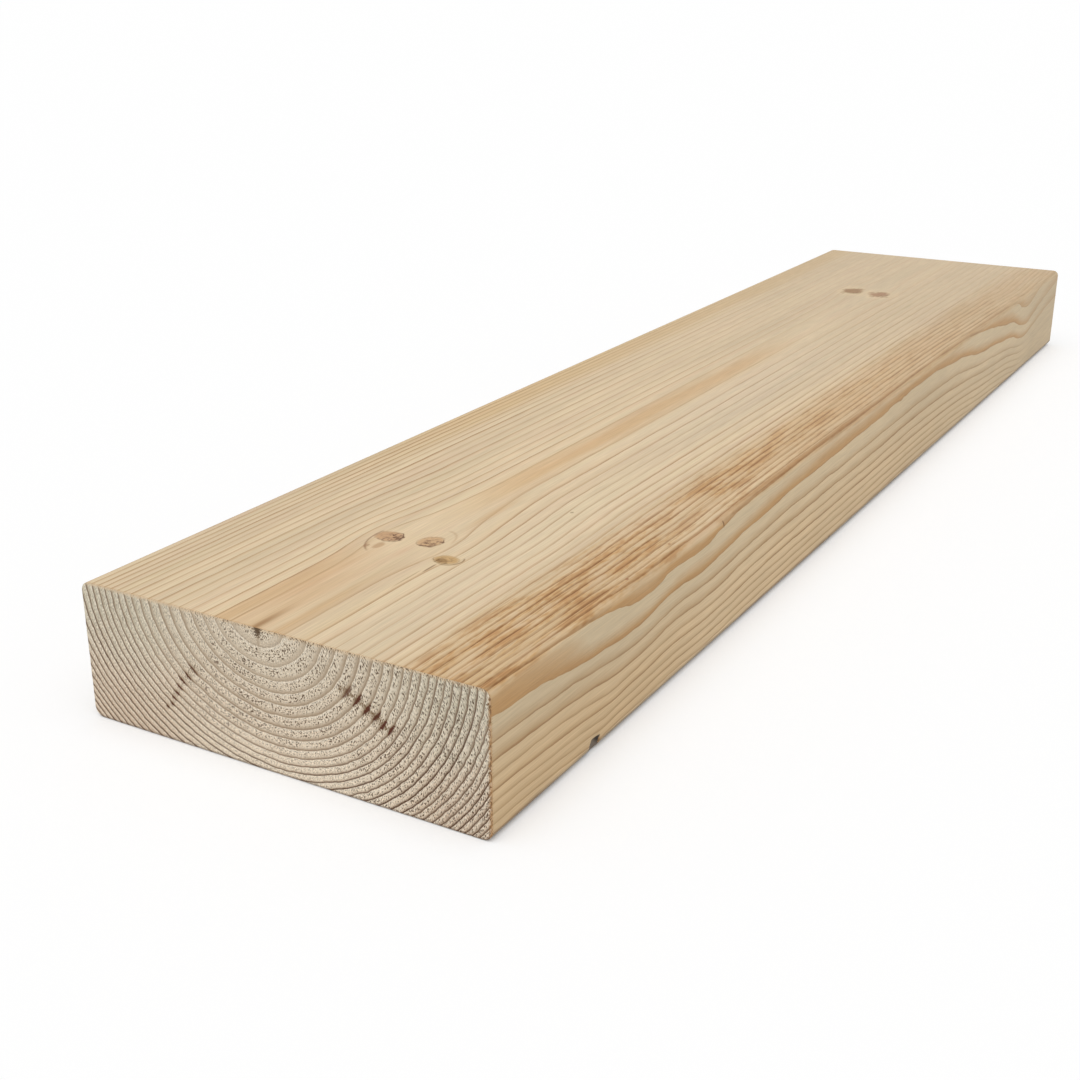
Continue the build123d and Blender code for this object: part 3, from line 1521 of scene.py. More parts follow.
@dataclass(frozen=True)
class SawnEndGrain:
    """Finish of both ends: cross-cut, with torn pores and resin marks.

    Places and sizes are in millimetres. The rest are shares, but for the seeds.
    """

    early: Tone = Tone(230, 212, 188)
    early_cool: Tone = Tone(214, 205, 182)
    early_warm: Tone = Tone(219, 193, 167)
    early_low: Tone = Tone(242, 225, 201)
    late: Tone = Tone(166, 142, 114)
    line: Tone = Tone(82, 50, 30)
    bright: Tone = Tone(242, 231, 212)
    pore: Tone = Tone(84, 60, 38)
    rim: Tone = Tone(230, 206, 172)
    fringe: Tone = Tone(190, 142, 88)
    fringe_dots: Tone = Tone(94, 66, 42)
    resin: Tone = Tone(88, 36, 22)
    resin_brown: Tone = Tone(86, 52, 28)
    resin_halo: Tone = Tone(124, 98, 66)
    pith: Tone = Tone(84, 62, 40)

    # How far from the near end the marks of that end reach
    near_end: Span = (30.0, 10.0)

    # Fibres: the weave runs round the pith, longer along the rings than across
    ring_waves: float = 0.34
    weave: FibreSize = FibreSize(9.0, 0.55, 0.5, 5.0)
    weave_stretch: float = 1.35
    slow_fibres: FibreSize = FibreSize(60.0, 9.0, 2.0, 6.0)
    fuzz_depth: float = 0.55
    threads: Run = (0.05, 0.4, 0.0, 0.55)
    threads_across: Run = (50.0, 12.0, 0.6, 1.0)
    front_dull: Run = (-38.0, -66.0, 0.0, -0.05)

    # Early wood: cool above, warm towards the lower corners, pale below the middle
    middle_across: float = -4.0
    outside: Span = (24.0, 60.0)
    cool_rise: Span = (14.0, 40.0)
    cool_drift: float = 14.0
    cool_shares: Span = (0.3, 0.9)
    warm_rise: Span = (26.0, 2.0)
    warm_drift: float = 10.0
    warm_share: float = 0.75
    pale_rise: Span = (18.0, 4.0)

    # Late wood, and the bright start of the next ring
    late_phase: Span = (0.52, 0.95)
    late_fray: float = 0.14
    late_outward: Run = (6.0, 30.0, 0.45, 1.0)
    late_share: float = 0.74
    late_hardness: float = 0.85
    bright_from_line: float = 0.42
    bright_width: float = 0.26
    bright_share: float = 0.6

    # The line that ends a ring, and how dark it is
    line_reach: Span = (0.75, 0.08)
    line_phase: Span = (0.5, 0.7)
    line_fray: float = 0.2
    line_seed: float = 17.0
    line_shares: Span = (0.55, 1.0)
    line_outward: Span = (30.0, 62.0)
    line_low: Run = (44.0, 14.0, 0.5, 1.0)
    line_least: float = 0.26
    line_back: Run = (20.0, 50.0, 1.0, 1.16)

    # Pores: fewer below and towards the back
    pores: Run = (-0.14, -0.3, 0.0, 0.95)
    pore_clumps: float = 0.2
    pore_phase_start: Span = (0.03, 0.12)
    pore_phase_end: Span = (0.84, 0.6)
    pore_low: Span = (16.0, 4.0)
    pore_low_across: Span = (-40.0, -20.0)
    pore_low_loss: float = 0.6
    pore_back: Run = (16.0, 40.0, 1.0, 0.4)

    # Resin
    resin_core: Run = (1.15, 0.6, 0.0, 0.95)
    resin_soak: Run = (2.2, 0.9, 0.0, 0.5)
    resin_jitter: float = 1.4
    resin_fade: float = 0.6
    resin_fray: float = 0.9
    resin_rise: float = 5.0
    brown_share: float = 0.6
    brown_seed_step: float = 5.0
    link_width: Span = (0.9, 0.2)
    link_fray: float = 1.2
    rows: tuple[ResinRow, ...] = (
        ResinRow(
            math.radians(-61.6), 29.0, 48.5, 0.0, (2.7, 2.5), (0.6, 0.58), 0.35, 0.75, 21.0
        ),
        ResinRow(
            math.radians(50.8), 33.2, 55.6, -0.0045, (2.8, 0.7), (0.36, 0.45), 0.85, 0.3, 22.0
        ),
    )
    marks: tuple[Mark, ...] = (
        Mark((0.0, 20.6, 30.4), (30.0, 1.1, 0.5), 0.7, Tone(112, 84, 62)),
    )

    # The pith at the top edge, and the crack below it
    pith_across: float = 4.5
    pith_up: float = 45.0
    pith_half_width: float = 1.6
    pith_half_height: float = 3.2
    pith_spot: Run = (1.15, 0.5, 0.0, 0.9)
    pith_fray: float = 0.5
    crack_across: float = 4.4
    crack_width: Run = (0.8, 0.1, 0.0, 0.6)
    crack_rise: Span = (34.0, 43.0)
    crack_fray: float = 0.3

    # Torn fibres along the top and front edges, and painted shade along the lower edge
    rim_rise: Span = (43.9, 44.6)
    rim_share: float = 0.8
    front_fringe: Run = (-71.2, -72.3, 0.0, 0.75)
    fringe_fray: float = 0.9
    painted_bottom_shade: Run = (0.9, 0.1, 0.0, 0.5)
    painted_bottom_shade_fray: float = 0.6
    dots: Run = (-0.02, -0.2, 0.0, 0.9)
    dots_across: Run = (45.0, 5.0, 0.1, 0.9)

    # Gloss and fine relief
    roughness: float = 0.85
    late_relief: float = 0.05
    fuzz_relief: float = 0.1

    def build(
        self, plank_length: float, rings: bpy.types.NodeTree, fibres: bpy.types.NodeTree
    ) -> bpy.types.Material:
        """Makes the material.

        Args:
            plank_length: Length of the plank, in millimetres.
            rings: The group of growth rings.
            fibres: The group of fibres.

        Returns:
            The material.
        """
        finish = TimberFinish("sawn end grain", plank_length)
        bench, place = finish.bench, finish.place
        ring = bench.place(rings, {"Place": place, "Fine Waves": self.ring_waves})
        round_pith = bench.vector(finish.x, ring["Arc"], ring["Radius"] * self.weave_stretch)
        weave = self.weave.lay(bench, fibres, round_pith)
        fuzz, thread = weave["Streak"], weave["Cross Streak"]
        slow = self.slow_fibres.lay(bench, fibres, place)

        phase, width = ring["Phase"], ring["Width"]
        after, before = phase * width, (1.0 - phase) * width
        fray = fuzz * self.line_fray
        line = bench.step(before + fray, *self.line_reach) * bench.step(phase, *self.line_phase)
        line = line * self._line_strength(finish, ring)
        bright = bench.bell(after + fray, self.bright_from_line, self.bright_width)
        late = bench.step(phase + fuzz * self.late_fray, *self.late_phase)
        late = late * bench.soft(ring["Radius"], *self.late_outward)
        soft = 1.0 - late * self.late_hardness
        torn = bench.soft(thread, *self.threads) * bench.soft(finish.y, *self.threads_across)

        colour = self._early_wood(finish, slow["Streak"])
        colour = bench.mix(late * self.late_share, colour, self.late.rgba)
        colour = bench.mix(bright * self.bright_share, colour, self.bright.rgba)
        colour = bench.mix(line, colour, self.line.rgba)
        colour = bench.mix(torn * soft, colour, self.bright.rgba)
        colour = finish.shade(colour, fuzz * soft, self.fuzz_depth)
        colour = finish.shade(colour, bench.soft(finish.y, *self.front_dull), 1.0)
        pores = self._pores(finish, phase, thread, slow["Cross Streak"])
        colour = bench.mix(pores, colour, self.pore.rgba)
        colour = self._resin(finish, ring, fuzz, thread, colour)
        colour = self._fringe(finish, fuzz, thread, colour)
        colour = self._pith(finish, fuzz, colour)
        relief = late * self.late_relief + fuzz * soft * self.fuzz_relief
        return finish.lay(colour, self.roughness, relief)

    def _early_wood(self, finish: TimberFinish, broad: Field) -> Field:
        """Colour of the early wood: cooler above, warmer towards the lower corners.

        Args:
            finish: The finish it goes into.
            broad: Slow change over the end.

        Returns:
            The colour.
        """
        bench, z = finish.bench, finish.z
        outside = bench.step(abs(finish.y - self.middle_across), *self.outside)
        cool = bench.step(z + broad * self.cool_drift, *self.cool_rise)
        cool = cool * bench.between(outside, *self.cool_shares)
        warm = bench.step(z + broad * self.warm_drift, *self.warm_rise) * outside
        pale = bench.step(z, *self.pale_rise) * (1.0 - outside)
        colour = bench.mix(cool, self.early.rgba, self.early_cool.rgba)
        colour = bench.mix(pale, colour, self.early_low.rgba)
        return bench.mix(warm * self.warm_share, colour, self.early_warm.rgba)

    def _line_strength(self, finish: TimberFinish, ring: Mapping[str, Field]) -> Field:
        """How dark each ring's line is: faint round the pith, strong in the lower corners.

        Args:
            finish: The finish it goes into.
            ring: The growth rings.

        Returns:
            The strength.
        """
        bench = finish.bench
        one_ring = bench.between(bench.chance(ring["Ring"], self.line_seed), *self.line_shares)
        outward = bench.step(ring["Radius"], *self.line_outward)
        outward = outward * bench.soft(finish.z, *self.line_low) + self.line_least
        return bench.clamp(one_ring * outward * bench.soft(finish.y, *self.line_back))

    def _pores(self, finish: TimberFinish, phase: Field, thread: Field, clumps: Field) -> Field:
        """Torn pores in the early wood, thickest in the middle and towards the front.

        Args:
            finish: The finish they go into.
            phase: Share of the ring that is passed.
            thread: Fine noise round the pith.
            clumps: Slow noise that gathers them.

        Returns:
            How strongly the pores show.
        """
        bench, y = finish.bench, finish.y
        band = bench.step(phase, *self.pore_phase_start) * bench.step(phase, *self.pore_phase_end)
        low = bench.step(finish.z, *self.pore_low) * bench.step(y, *self.pore_low_across)
        share = (1.0 - low * self.pore_low_loss) * bench.soft(y, *self.pore_back)
        return bench.soft(thread + clumps * self.pore_clumps, *self.pores) * band * share

    def _resin(
        self,
        finish: TimberFinish,
        ring: Mapping[str, Field],
        fuzz: Field,
        thread: Field,
        colour: Field,
    ) -> Field:
        """Rows of dark resin marks across the rings of the near end.

        Args:
            finish: The finish they go into.
            ring: The growth rings.
            fuzz: Fine noise that frays the marks.
            thread: Fine noise that breaks up the links between them.
            colour: The colour below.

        Returns:
            The colour with the marks.
        """
        bench, radius = finish.bench, ring["Radius"]
        near = bench.step(finish.x, *self.near_end)
        count = ring["Phase"] + ring["Ring"]
        whole = bench.math("ROUND", count)
        to_line = abs(count - whole) * ring["Width"]
        for row in self.rows:
            jitter = (bench.chance(whole, row.seed) - 0.5) * self.resin_jitter
            lean = (radius - row.inner) * row.lean
            side = (ring["Bearing"] - row.bearing - lean) * radius + jitter
            fade = self.resin_fade
            inside = bench.step(radius, row.inner - fade, row.inner + fade)
            inside = inside * bench.step(radius, row.outer + fade, row.outer - fade) * near
            length = bench.ramp(radius, row.inner, row.outer, *row.half_length)
            thickness = bench.ramp(radius, row.inner, row.outer, *row.half_thickness)
            along = side / length
            body = along * along + to_line / thickness + fuzz * self.resin_fray
            rise = (row.inner, row.inner + self.resin_rise, row.first_strength, 1.0)
            shown = inside * bench.ramp(radius, *rise)
            link = bench.step(abs(side) + thread * self.link_fray, *self.link_width)
            soak = bench.soft(body, *self.resin_soak) * inside
            halo = bench.math("MAXIMUM", soak, link * inside * row.link)
            colour = bench.mix(halo, colour, self.resin_halo.rgba)
            brown = bench.chance(whole, row.seed + self.brown_seed_step) * self.brown_share
            resin = bench.mix(brown, self.resin.rgba, self.resin_brown.rgba)
            colour = bench.mix(bench.soft(body, *self.resin_core) * shown, colour, resin)
        for lone in self.marks:
            colour = bench.mix(lone.mask(bench, finish.place, fuzz), colour, lone.tone.rgba)
        return colour

    def _fringe(self, finish: TimberFinish, fuzz: Field, thread: Field, colour: Field) -> Field:
        """Torn fibres along the edges where the saw came through, and painted shade along the lower
        edge.

        Args:
            finish: The finish they go into.
            fuzz: Fine noise that frays them.
            thread: Fine noise that breaks them up.
            colour: The colour below.

        Returns:
            The colour with the fringe.
        """
        bench, y, z = finish.bench, finish.y, finish.z
        fray = fuzz * self.fringe_fray
        top = bench.step(z + fray, *self.rim_rise)
        front = bench.soft(y + fray, *self.front_fringe)
        # Painted shade: the bottom of the end darkened towards its lower edge
        low = bench.soft(z + fuzz * self.painted_bottom_shade_fray, *self.painted_bottom_shade)
        dotted = bench.clamp(top * bench.soft(y, *self.dots_across) + front)
        dots = bench.soft(thread, *self.dots) * dotted
        colour = bench.mix(top * self.rim_share, colour, self.rim.rgba)
        colour = bench.mix(front, colour, self.fringe.rgba)
        colour = bench.mix(dots, colour, self.fringe_dots.rgba)
        # Painted shade along the lower edge, in the line colour
        return bench.mix(low, colour, self.line.rgba)

    def _pith(self, finish: TimberFinish, fuzz: Field, colour: Field) -> Field:
        """The dark pith at the top of the near end, and the fine crack below it.

        Args:
            finish: The finish it goes into.
            fuzz: Fine fibres that fray it.
            colour: The colour below.

        Returns:
            The colour with the pith.
        """
        bench, y, z = finish.bench, finish.y, finish.z
        near = bench.step(finish.x, *self.near_end)
        across = (y - self.pith_across) / self.pith_half_width
        up = (z - self.pith_up) / self.pith_half_height
        spot = bench.length(across, up) + fuzz * self.pith_fray
        off = abs(y - self.crack_across + fuzz * self.crack_fray)
        crack = bench.soft(off, *self.crack_width) * bench.step(z, *self.crack_rise)
        colour = bench.mix(crack * near, colour, self.late.rgba)
        return bench.mix(bench.soft(spot, *self.pith_spot) * near, colour, self.pith.rgba)


class PlankFace(Enum):
    """The plank's faces, each with its place on the bake map: left, bottom, width, height."""

    TOP = (0.005, 0.655, 0.990, 0.340)
    UNDERSIDE = (0.005, 0.395, 0.990, 0.250)
    FRONT = (0.005, 0.270, 0.990, 0.115)
    BACK = (0.005, 0.170, 0.990, 0.090)
    NEAR_END = (0.005, 0.005, 0.500, 0.155)
    FAR_END = (0.515, 0.005, 0.480, 0.155)


@dataclass
class Plank:
    """The plank's mesh: a rounded section run along the grain, in metres."""

    low: Vector
    high: Vector
    arris_radius: float = 3.0 * MM
    torn_knot_along: float = 57.5 * MM
    torn_knot_up: float = 2.0 * MM
    torn_knot_radius: float = 3.5 * MM
    torn_knot_depth: float = 1.5 * MM
    torn_zone: float = 11.0 * MM
    end_raggedness: float = 0.22 * MM
    cells_along_before: int = 10
    cells_along_torn: int = 44
    cells_along_after: int = 104
    cells_across: int = 100
    cells_up: int = 30
    cells_arris: int = 6
    end_waves: Triple = (90.0, 30.0, 3.0)
    end_wave_layers: float = 2.0
    end_share: float = 0.4999
    crisp_angle: float = 40.0
    seed: float = 5.0
    piece: bpy.types.Object | None = field(default=None, init=False)

    @property
    def size(self) -> Vector:
        """Length, width and thickness."""
        return self.high - self.low

    def build(self, planed: bpy.types.Material, sawn: bpy.types.Material) -> bpy.types.Object:
        """Makes the plank as one plain mesh.

        Args:
            planed: Finish of the long faces.
            sawn: Finish of the ends.

        Returns:
            The finished object, at the origin.
        """
        seedling = bpy.data.meshes.new("plank rule")
        maker = bpy.data.objects.new("plank maker", seedling)
        bpy.context.scene.collection.objects.link(maker)
        modifier = maker.modifiers.new("section along the grain", "NODES")
        modifier.node_group = self._rule()
        self._set_inputs(modifier, planed, sawn)
        evaluated = maker.evaluated_get(bpy.context.evaluated_depsgraph_get())
        mesh = bpy.data.meshes.new_from_object(evaluated)
        maker.modifiers.remove(modifier)
        bpy.data.objects.remove(maker)
        bpy.data.meshes.remove(seedling)
        mesh.name = "softwood plank"
        if mesh.materials[0] is None:
            mesh.materials.pop(index=0)
        self._lay_bake_map(mesh)
        self.piece = bpy.data.objects.new("softwood_plank", mesh)
        bpy.context.scene.collection.objects.link(self.piece)
        return self.piece

    def fasten(self) -> None:
        """Lets the piece stand for the solid and ride on its body."""
        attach(self.piece, "root")
        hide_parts("plank")

    def _set_inputs(
        self, modifier: bpy.types.Modifier, planed: bpy.types.Material, sawn: bpy.types.Material
    ) -> None:
        """Gives the rule this plank's sizes and finishes.

        Args:
            modifier: The modifier that holds the rule.
            planed: Finish of the long faces.
            sawn: Finish of the ends.
        """
        values = {
            "Length": self.size.x,
            "Width": self.size.y,
            "Thickness": self.size.z,
            "Arris Radius": self.arris_radius,
            "Torn Knot Along": self.torn_knot_along,
            "Torn Knot Up": self.torn_knot_up,
            "Torn Knot Radius": self.torn_knot_radius,
            "Torn Knot Depth": self.torn_knot_depth,
            "End Raggedness": self.end_raggedness,
            "Seed": self.seed,
            "Planed": planed,
            "Sawn": sawn,
        }
        for item in modifier.node_group.interface.items_tree:
            if item.in_out == "INPUT" and item.name in values:
                modifier[item.identifier] = values[item.name]

    def _rule(self) -> bpy.types.NodeTree:
        """Makes the Geometry Nodes tree that shapes the plank.

        Returns:
            The tree.
        """
        tree = bpy.data.node_groups.new("plank along the grain", "GeometryNodeTree")
        lengths = (
            "Length",
            "Width",
            "Thickness",
            "Arris Radius",
            "Torn Knot Along",
            "Torn Knot Up",
            "Torn Knot Radius",
            "Torn Knot Depth",
            "End Raggedness",
            "Seed",
        )
        kinds = dict.fromkeys(lengths, SocketKind.VALUE)
        kinds = kinds | dict.fromkeys(("Planed", "Sawn"), SocketKind.MATERIAL)
        for label, kind in kinds.items():
            tree.interface.new_socket(label, in_out="INPUT", socket_type=kind.value)
        tree.interface.new_socket("Plank", in_out="OUTPUT", socket_type=SocketKind.SHAPE.value)
        bench = Bench(tree)
        source = bench.node("NodeGroupInput")
        given = {label: bench.field(source.outputs[label]) for label in kinds}
        whole = self._block(bench)
        for places in (self._section(bench, given), self._torn(bench, given)):
            feeds = {"Geometry": whole, "Position": places}
            whole = bench.node("GeometryNodeSetPosition", feeds).outputs[0]
        whole = bench.node("GeometryNodeRealizeInstances", {0: whole}).outputs[0]
        dressed = self._dress(bench, given, whole)
        bench.node("NodeGroupOutput", {"Plank": dressed})
        return tree

    def _block(self, bench: Bench) -> bpy.types.NodeSocket:
        """A block of unit size with as many cells as the plank needs.

        Args:
            bench: The tree to work on.

        Returns:
            The block.
        """
        along = self.cells_along_before + self.cells_along_torn + self.cells_along_after
        feeds = {
            "Size": (1.0, 1.0, 1.0),
            "Vertices X": along + 1,
            "Vertices Y": self.cells_across + 2 * self.cells_arris + 1,
            "Vertices Z": self.cells_up + 2 * self.cells_arris + 1,
        }
        return bench.node("GeometryNodeMeshCube", feeds).outputs[0]

    def _section(self, bench: Bench, given: Mapping[str, Field]) -> Field:
        """Where each point of the unit block goes on the plank.

        Args:
            bench: The tree to work on.
            given: The tree's inputs.

        Returns:
            The new position.
        """
        x, y, z = bench.split(bench.node("GeometryNodeInputPosition").outputs[0])
        radius = given["Arris Radius"]
        flat_y, curve_y = self._flat_and_curve(bench, y, self.cells_across, given["Width"], radius)
        flat_z, curve_z = self._flat_and_curve(bench, z, self.cells_up, given["Thickness"], radius)
        round_y = curve_y * bench.math("SQRT", 1.0 - curve_z * curve_z * 0.5)
        round_z = curve_z * bench.math("SQRT", 1.0 - curve_y * curve_y * 0.5)
        new_y = bench.math("SIGN", y) * (flat_y + radius * round_y)
        new_z = bench.math("SIGN", z) * (flat_z + radius * round_z) + given["Thickness"] * 0.5
        return bench.vector(self._along(bench, given, x, y, z), new_y, new_z)

    def _along(
        self, bench: Bench, given: Mapping[str, Field], x: Field, y: Field, z: Field
    ) -> Field:
        """Place along the grain, with close cells round the torn knot and ragged ends.

        Args:
            bench: The tree to work on.
            given: The tree's inputs.
            x: The unit block's own place along the grain.
            y: The unit block's own place across.
            z: The unit block's own height.

        Returns:
            The place along the grain.
        """
        total = self.cells_along_before + self.cells_along_torn + self.cells_along_after
        first = self.cells_along_before / total
        second = (self.cells_along_before + self.cells_along_torn) / total
        start = given["Torn Knot Along"] - self.torn_zone
        end = given["Torn Knot Along"] + self.torn_zone
        share = x + 0.5
        from_end = bench.ramp(share, 0.0, first, 0.0, start)
        from_end = from_end + bench.ramp(share, first, second, 0.0, end - start)
        from_end = from_end + bench.ramp(share, second, 1.0, 0.0, given["Length"] - end)
        across, up, along = self.end_waves
        feeds = {
            "Vector": bench.vector(y * across, z * up, x * along),
            "W": given["Seed"],
            "Scale": 1.0,
            "Detail": self.end_wave_layers,
        }
        noise = bench.node("ShaderNodeTexNoise", feeds, noise_dimensions="4D")
        ragged = bench.clamp(bench.field(noise.outputs[0])) * given["End Raggedness"]
        at_end = bench.math("GREATER_THAN", abs(x), self.end_share)
        inwards = bench.math("SIGN", x) * at_end * ragged
        return from_end - given["Length"] * 0.5 - inwards

    def _flat_and_curve(
        self, bench: Bench, place: Field, cells: int, size: Field, radius: Field
    ) -> tuple[Field, Field]:
        """Splits a place on the unit block into its flat part and its part of the arris.

        Args:
            bench: The tree to work on.
            place: Place on the unit block, from -0.5 to 0.5.
            cells: Cells on the flat between the two arrises.
            size: The plank's size this way.
            radius: The arris radius.

        Returns:
            The distance from the middle on the flat, and the share of the arris from 0 to 1.
        """
        half_flat = 0.5 * cells / (cells + 2 * self.cells_arris)
        away = abs(place)
        flat = bench.ramp(away, 0.0, half_flat, 0.0, size * 0.5 - radius)
        curve = bench.ramp(away, half_flat, 0.5, 0.0, 1.0)
        return flat, curve

    def _torn(self, bench: Bench, given: Mapping[str, Field]) -> Field:
        """Presses the hollow of the torn knot into the lower front edge.

        Args:
            bench: The tree to work on.
            given: The tree's inputs.

        Returns:
            The new position.
        """
        position = bench.field(bench.node("GeometryNodeInputPosition").outputs[0])
        radius, depth = given["Torn Knot Radius"], given["Torn Knot Depth"]
        ball = (radius * radius + depth * depth) / (depth * 2.0)
        centre = bench.vector(
            given["Torn Knot Along"] - given["Length"] * 0.5,
            depth - given["Width"] * 0.5 - ball,
            given["Torn Knot Up"],
        )
        offset = bench.vector_math("SUBTRACT", position, centre)
        push = bench.math("MAXIMUM", ball / bench.reach(offset), 1.0)
        pushes = bench.vector(push, push, push)
        return bench.vector_math("MULTIPLY_ADD", offset, pushes, centre)

    def _dress(
        self, bench: Bench, given: Mapping[str, Field], whole: bpy.types.NodeSocket
    ) -> bpy.types.NodeSocket:
        """Shades the plank smooth with crisp ends, and gives its faces their finishes.

        Args:
            bench: The tree to work on.
            given: The tree's inputs.
            whole: The shaped plank.

        Returns:
            The dressed plank.
        """
        angle = bench.field(bench.node("GeometryNodeInputMeshEdgeAngle").outputs[0])
        soft = bench.math("LESS_THAN", angle, math.radians(self.crisp_angle))
        for domain, smooth in (("FACE", True), ("EDGE", soft)):
            feeds = {"Geometry": whole, "Shade Smooth": smooth}
            whole = bench.node("GeometryNodeSetShadeSmooth", feeds, domain=domain).outputs[0]
        normal = bench.split(bench.node("GeometryNodeInputNormal").outputs[0])
        at_end = bench.math("GREATER_THAN", abs(normal[0]), END_LEAN)
        for finish, faces in (("Planed", True), ("Sawn", at_end)):
            feeds = {"Geometry": whole, "Selection": faces, "Material": given[finish]}
            whole = bench.node("GeometryNodeSetMaterial", feeds).outputs[0]
        return whole

    def _lay_bake_map(self, mesh: bpy.types.Mesh) -> None:
        """Lays each face flat on its own part of the map that exports bake through.

        Args:
            mesh: The plank's mesh.
        """
        normals = np.empty(len(mesh.polygons) * 3, np.float32)
        mesh.polygons.foreach_get("normal", normals)
        normals = normals.reshape(-1, 3)
        counts = np.empty(len(mesh.polygons), np.int32)
        mesh.polygons.foreach_get("loop_total", counts)
        vertices = np.empty(len(mesh.loops), np.int32)
        mesh.loops.foreach_get("vertex_index", vertices)
        places = np.empty(len(mesh.vertices) * 3, np.float32)
        mesh.vertices.foreach_get("co", places)
        shares = (places.reshape(-1, 3)[vertices] - np.array(self.low)) / np.array(self.size)
        normals = np.repeat(normals, counts, axis=0)
        ends = np.abs(normals[:, 0]) > END_LEAN
        level = np.abs(normals[:, 2]) >= np.abs(normals[:, 1])
        chosen = {
            PlankFace.NEAR_END: (ends & (normals[:, 0] < 0), 1, 2),
            PlankFace.FAR_END: (ends & (normals[:, 0] > 0), 1, 2),
            PlankFace.TOP: (~ends & level & (normals[:, 2] > 0), 0, 1),
            PlankFace.UNDERSIDE: (~ends & level & (normals[:, 2] < 0), 0, 1),
            PlankFace.FRONT: (~ends & ~level & (normals[:, 1] < 0), 0, 2),
            PlankFace.BACK: (~ends & ~level & (normals[:, 1] > 0), 0, 2),
        }
        spots = np.zeros((len(vertices), 2), np.float32)
        for face, (mask, right, up) in chosen.items():
            left, bottom, wide, high = face.value
            spots[mask, 0] = left + wide * shares[mask, right]
            spots[mask, 1] = bottom + high * shares[mask, up]
        layer = mesh.uv_layers.new(name="OFBake")
        layer.uv.foreach_set("vector", spots.ravel())


@dataclass(frozen=True)
class PhotoCamera:
    """Camera with the view that the photograph has, in metres and degrees."""

    place: Triple = (-0.61562, -0.25559, 0.21808)
    heading: float = 30.12
    tilt: float = -21.01
    roll: float = 0.057
    lens: float = 49.98
    sensor_width: float = 36.0
    clip: Span = (0.01, 100.0)

    def build(self) -> bpy.types.Object:
        """Makes the camera and takes it for the scene.

        Returns:
            The camera.
        """
        data = bpy.data.cameras.new("photo camera")
        data.sensor_width = self.sensor_width
        data.lens = self.lens
        data.clip_start, data.clip_end = self.clip
        camera = bpy.data.objects.new("photo camera", data)
        heading, tilt = math.radians(self.heading), math.radians(self.tilt)
        level = math.cos(tilt)
        ahead = Vector((math.cos(heading) * level, math.sin(heading) * level, math.sin(tilt)))
        turn = ahead.to_track_quat("-Z", "Y").to_matrix().to_4x4()
        turn = turn @ Matrix.Rotation(math.radians(self.roll), 4, "Z")
        camera.matrix_world = Matrix.Translation(self.place) @ turn
        bpy.context.scene.collection.objects.link(camera)
        bpy.context.scene.camera = camera
        return camera


@dataclass(frozen=True)
class SoftLight:
    """A broad, soft light from one side that is as strong everywhere."""

    name: str
    towards: Triple
    spread: float
    strength: float
    height: float = 2.0

    def build(self) -> bpy.types.Object:
        """Hangs the light.

        Returns:
            The light.
        """
        data = bpy.data.lights.new(self.name, "SUN")
        data.energy = self.strength
        data.angle = math.radians(self.spread)
        light = bpy.data.objects.new(self.name, data)
        light.rotation_euler = Vector(self.towards).to_track_quat("-Z", "Y").to_euler()
        light.location = (0.0, 0.0, self.height)
        bpy.context.scene.collection.objects.link(light)
        return light


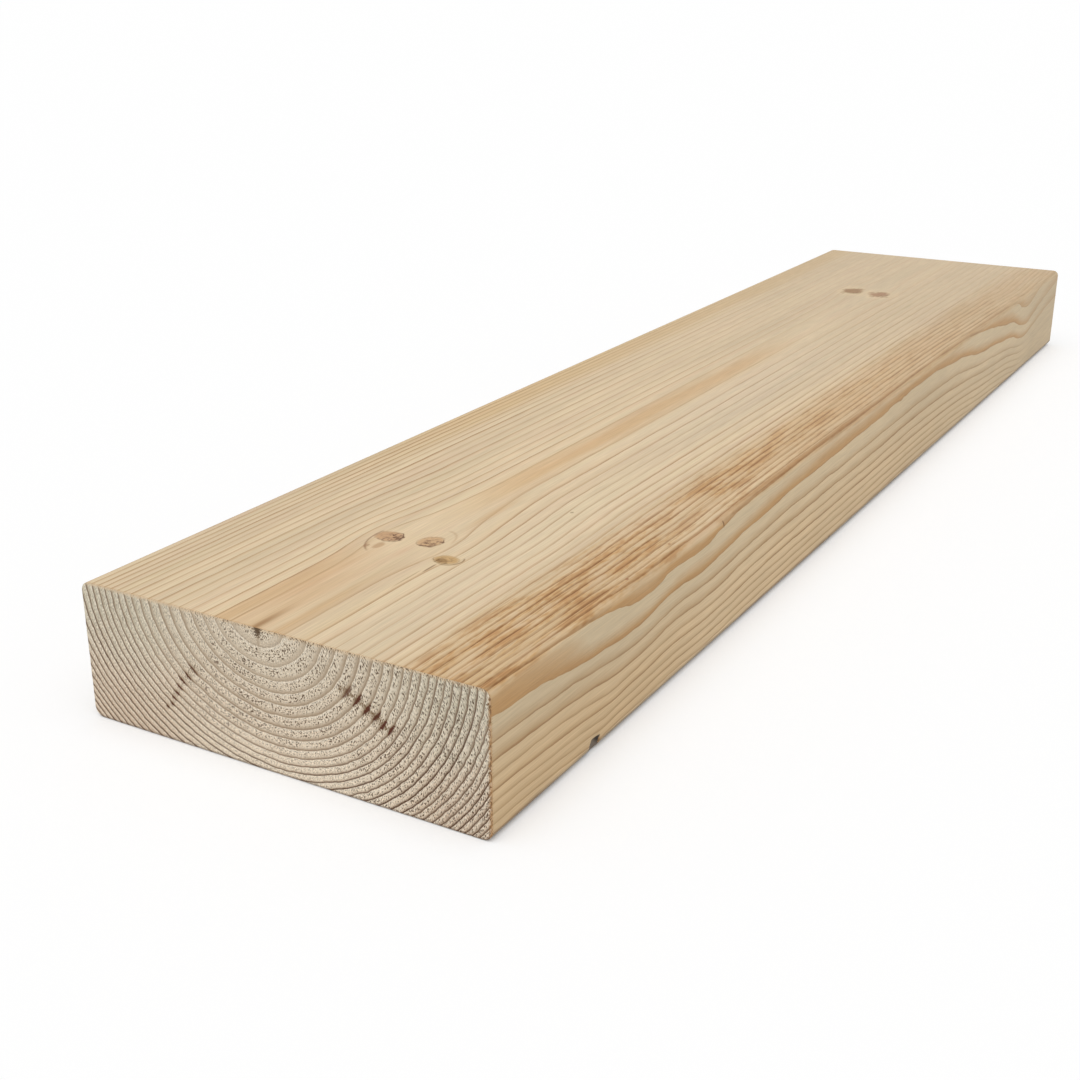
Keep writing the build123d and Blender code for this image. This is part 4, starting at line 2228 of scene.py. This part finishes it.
@dataclass(frozen=True)
class Studio:
    """Pale floor, soft light and an even sky."""

    floor_half: float = 60.0
    floor_drop: float = 0.0003
    floor_tone: Tone = Tone(236, 236, 236)
    shadow_share: float = 0.4
    contact_reach: float = 0.014
    contact_samples: int = 4
    sky_strength: float = 0.5
    lights: tuple[SoftLight, ...] = (
        SoftLight("overhead light", (0.30, 0.12, -1.0), 70.0, 1.62),
    )

    def build(self) -> None:
        """Sets up the studio and its plain view settings."""
        scene = bpy.context.scene
        scene.view_settings.view_transform = "Standard"
        self._sky(scene)
        self._floor()
        for light in self.lights:
            light.build()

    def _sky(self, scene: bpy.types.Scene) -> None:
        """An even sky that the camera sees as plain white.

        Args:
            scene: The scene that gets it.
        """
        world = bpy.data.worlds.new("studio sky")
        world.use_nodes = True
        world.node_tree.nodes.clear()
        bench = Bench(world.node_tree)
        seen = self._seen(bench)
        lit, white = (
            bench.node("ShaderNodeBackground", {"Color": WHITE, "Strength": strength}).outputs[0]
            for strength in (self.sky_strength, 1.0)
        )
        sky = bench.node("ShaderNodeMixShader", {0: seen, 1: lit, 2: white})
        bench.node("ShaderNodeOutputWorld", {"Surface": sky.outputs[0]})
        scene.world = world

    def _floor(self) -> None:
        """A pale floor that the camera sees as white, with the plank's shadow on it."""
        half = self.floor_half
        mesh = bpy.data.meshes.new("studio floor")
        corners = ((-half, -half), (half, -half), (half, half), (-half, half))
        places = [(x, y, -self.floor_drop) for x, y in corners]
        mesh.from_pydata(places, [], [(0, 1, 2, 3)])
        material = bpy.data.materials.new("studio floor")
        material.use_nodes = True
        material.node_tree.nodes.clear()
        bench = Bench(material.node_tree)
        seen = self._seen(bench)
        feeds = {"Distance": self.contact_reach}
        contact = bench.node("ShaderNodeAmbientOcclusion", feeds, samples=self.contact_samples)
        free = bench.field(contact.outputs["AO"])
        tone = bench.mix(seen, self.floor_tone.rgba, WHITE)
        paper = bench.node("ShaderNodeBsdfDiffuse", {"Color": tone}).outputs[0]
        white = bench.node("ShaderNodeEmission", {"Color": WHITE, "Strength": 1.0}).outputs[0]
        share = seen * free * (1.0 - self.shadow_share)
        surface = bench.node("ShaderNodeMixShader", {0: share, 1: paper, 2: white})
        bench.node("ShaderNodeOutputMaterial", {"Surface": surface.outputs[0]})
        mesh.materials.append(material)
        floor = bpy.data.objects.new("studio_floor", mesh)
        bpy.context.scene.collection.objects.link(floor)

    def _seen(self, bench: Bench) -> Field:
        """1 for what the camera sees, straight or through gloss or glass.

        Args:
            bench: The tree to work on.

        Returns:
            The share, from 0 to 1.
        """
        path = bench.node("ShaderNodeLightPath")
        names = ("Is Camera Ray", "Is Glossy Ray", "Is Transmission Ray")
        straight, gloss, glass = (bench.field(path.outputs[name]) for name in names)
        return bench.clamp(straight + gloss + glass)


def main() -> None:
    """Builds the plank, the studio and the camera in order."""
    logging.basicConfig(level=logging.INFO, format="%(name)s: %(message)s")
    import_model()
    low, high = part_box("plank")
    length = (high.x - low.x) / MM

    rings, fibres = GrowthRings().build(), Fibres().build()
    planed = PlanedTimber().build(length, rings, fibres)
    sawn = SawnEndGrain().build(length, rings, fibres)
    plank = Plank(low, high)
    piece = plank.build(planed, sawn)
    plank.fasten()
    finishes = [material.name for material in piece.data.materials]
    LOG.info("%s: %d faces, %s", piece.name, len(piece.data.polygons), finishes)

    Studio().build()
    LOG.info("studio: floor, sky and light")
    camera = PhotoCamera().build()
    LOG.info("%s: %.2f mm lens", camera.name, camera.data.lens)


if __name__ == "__main__":
    main()
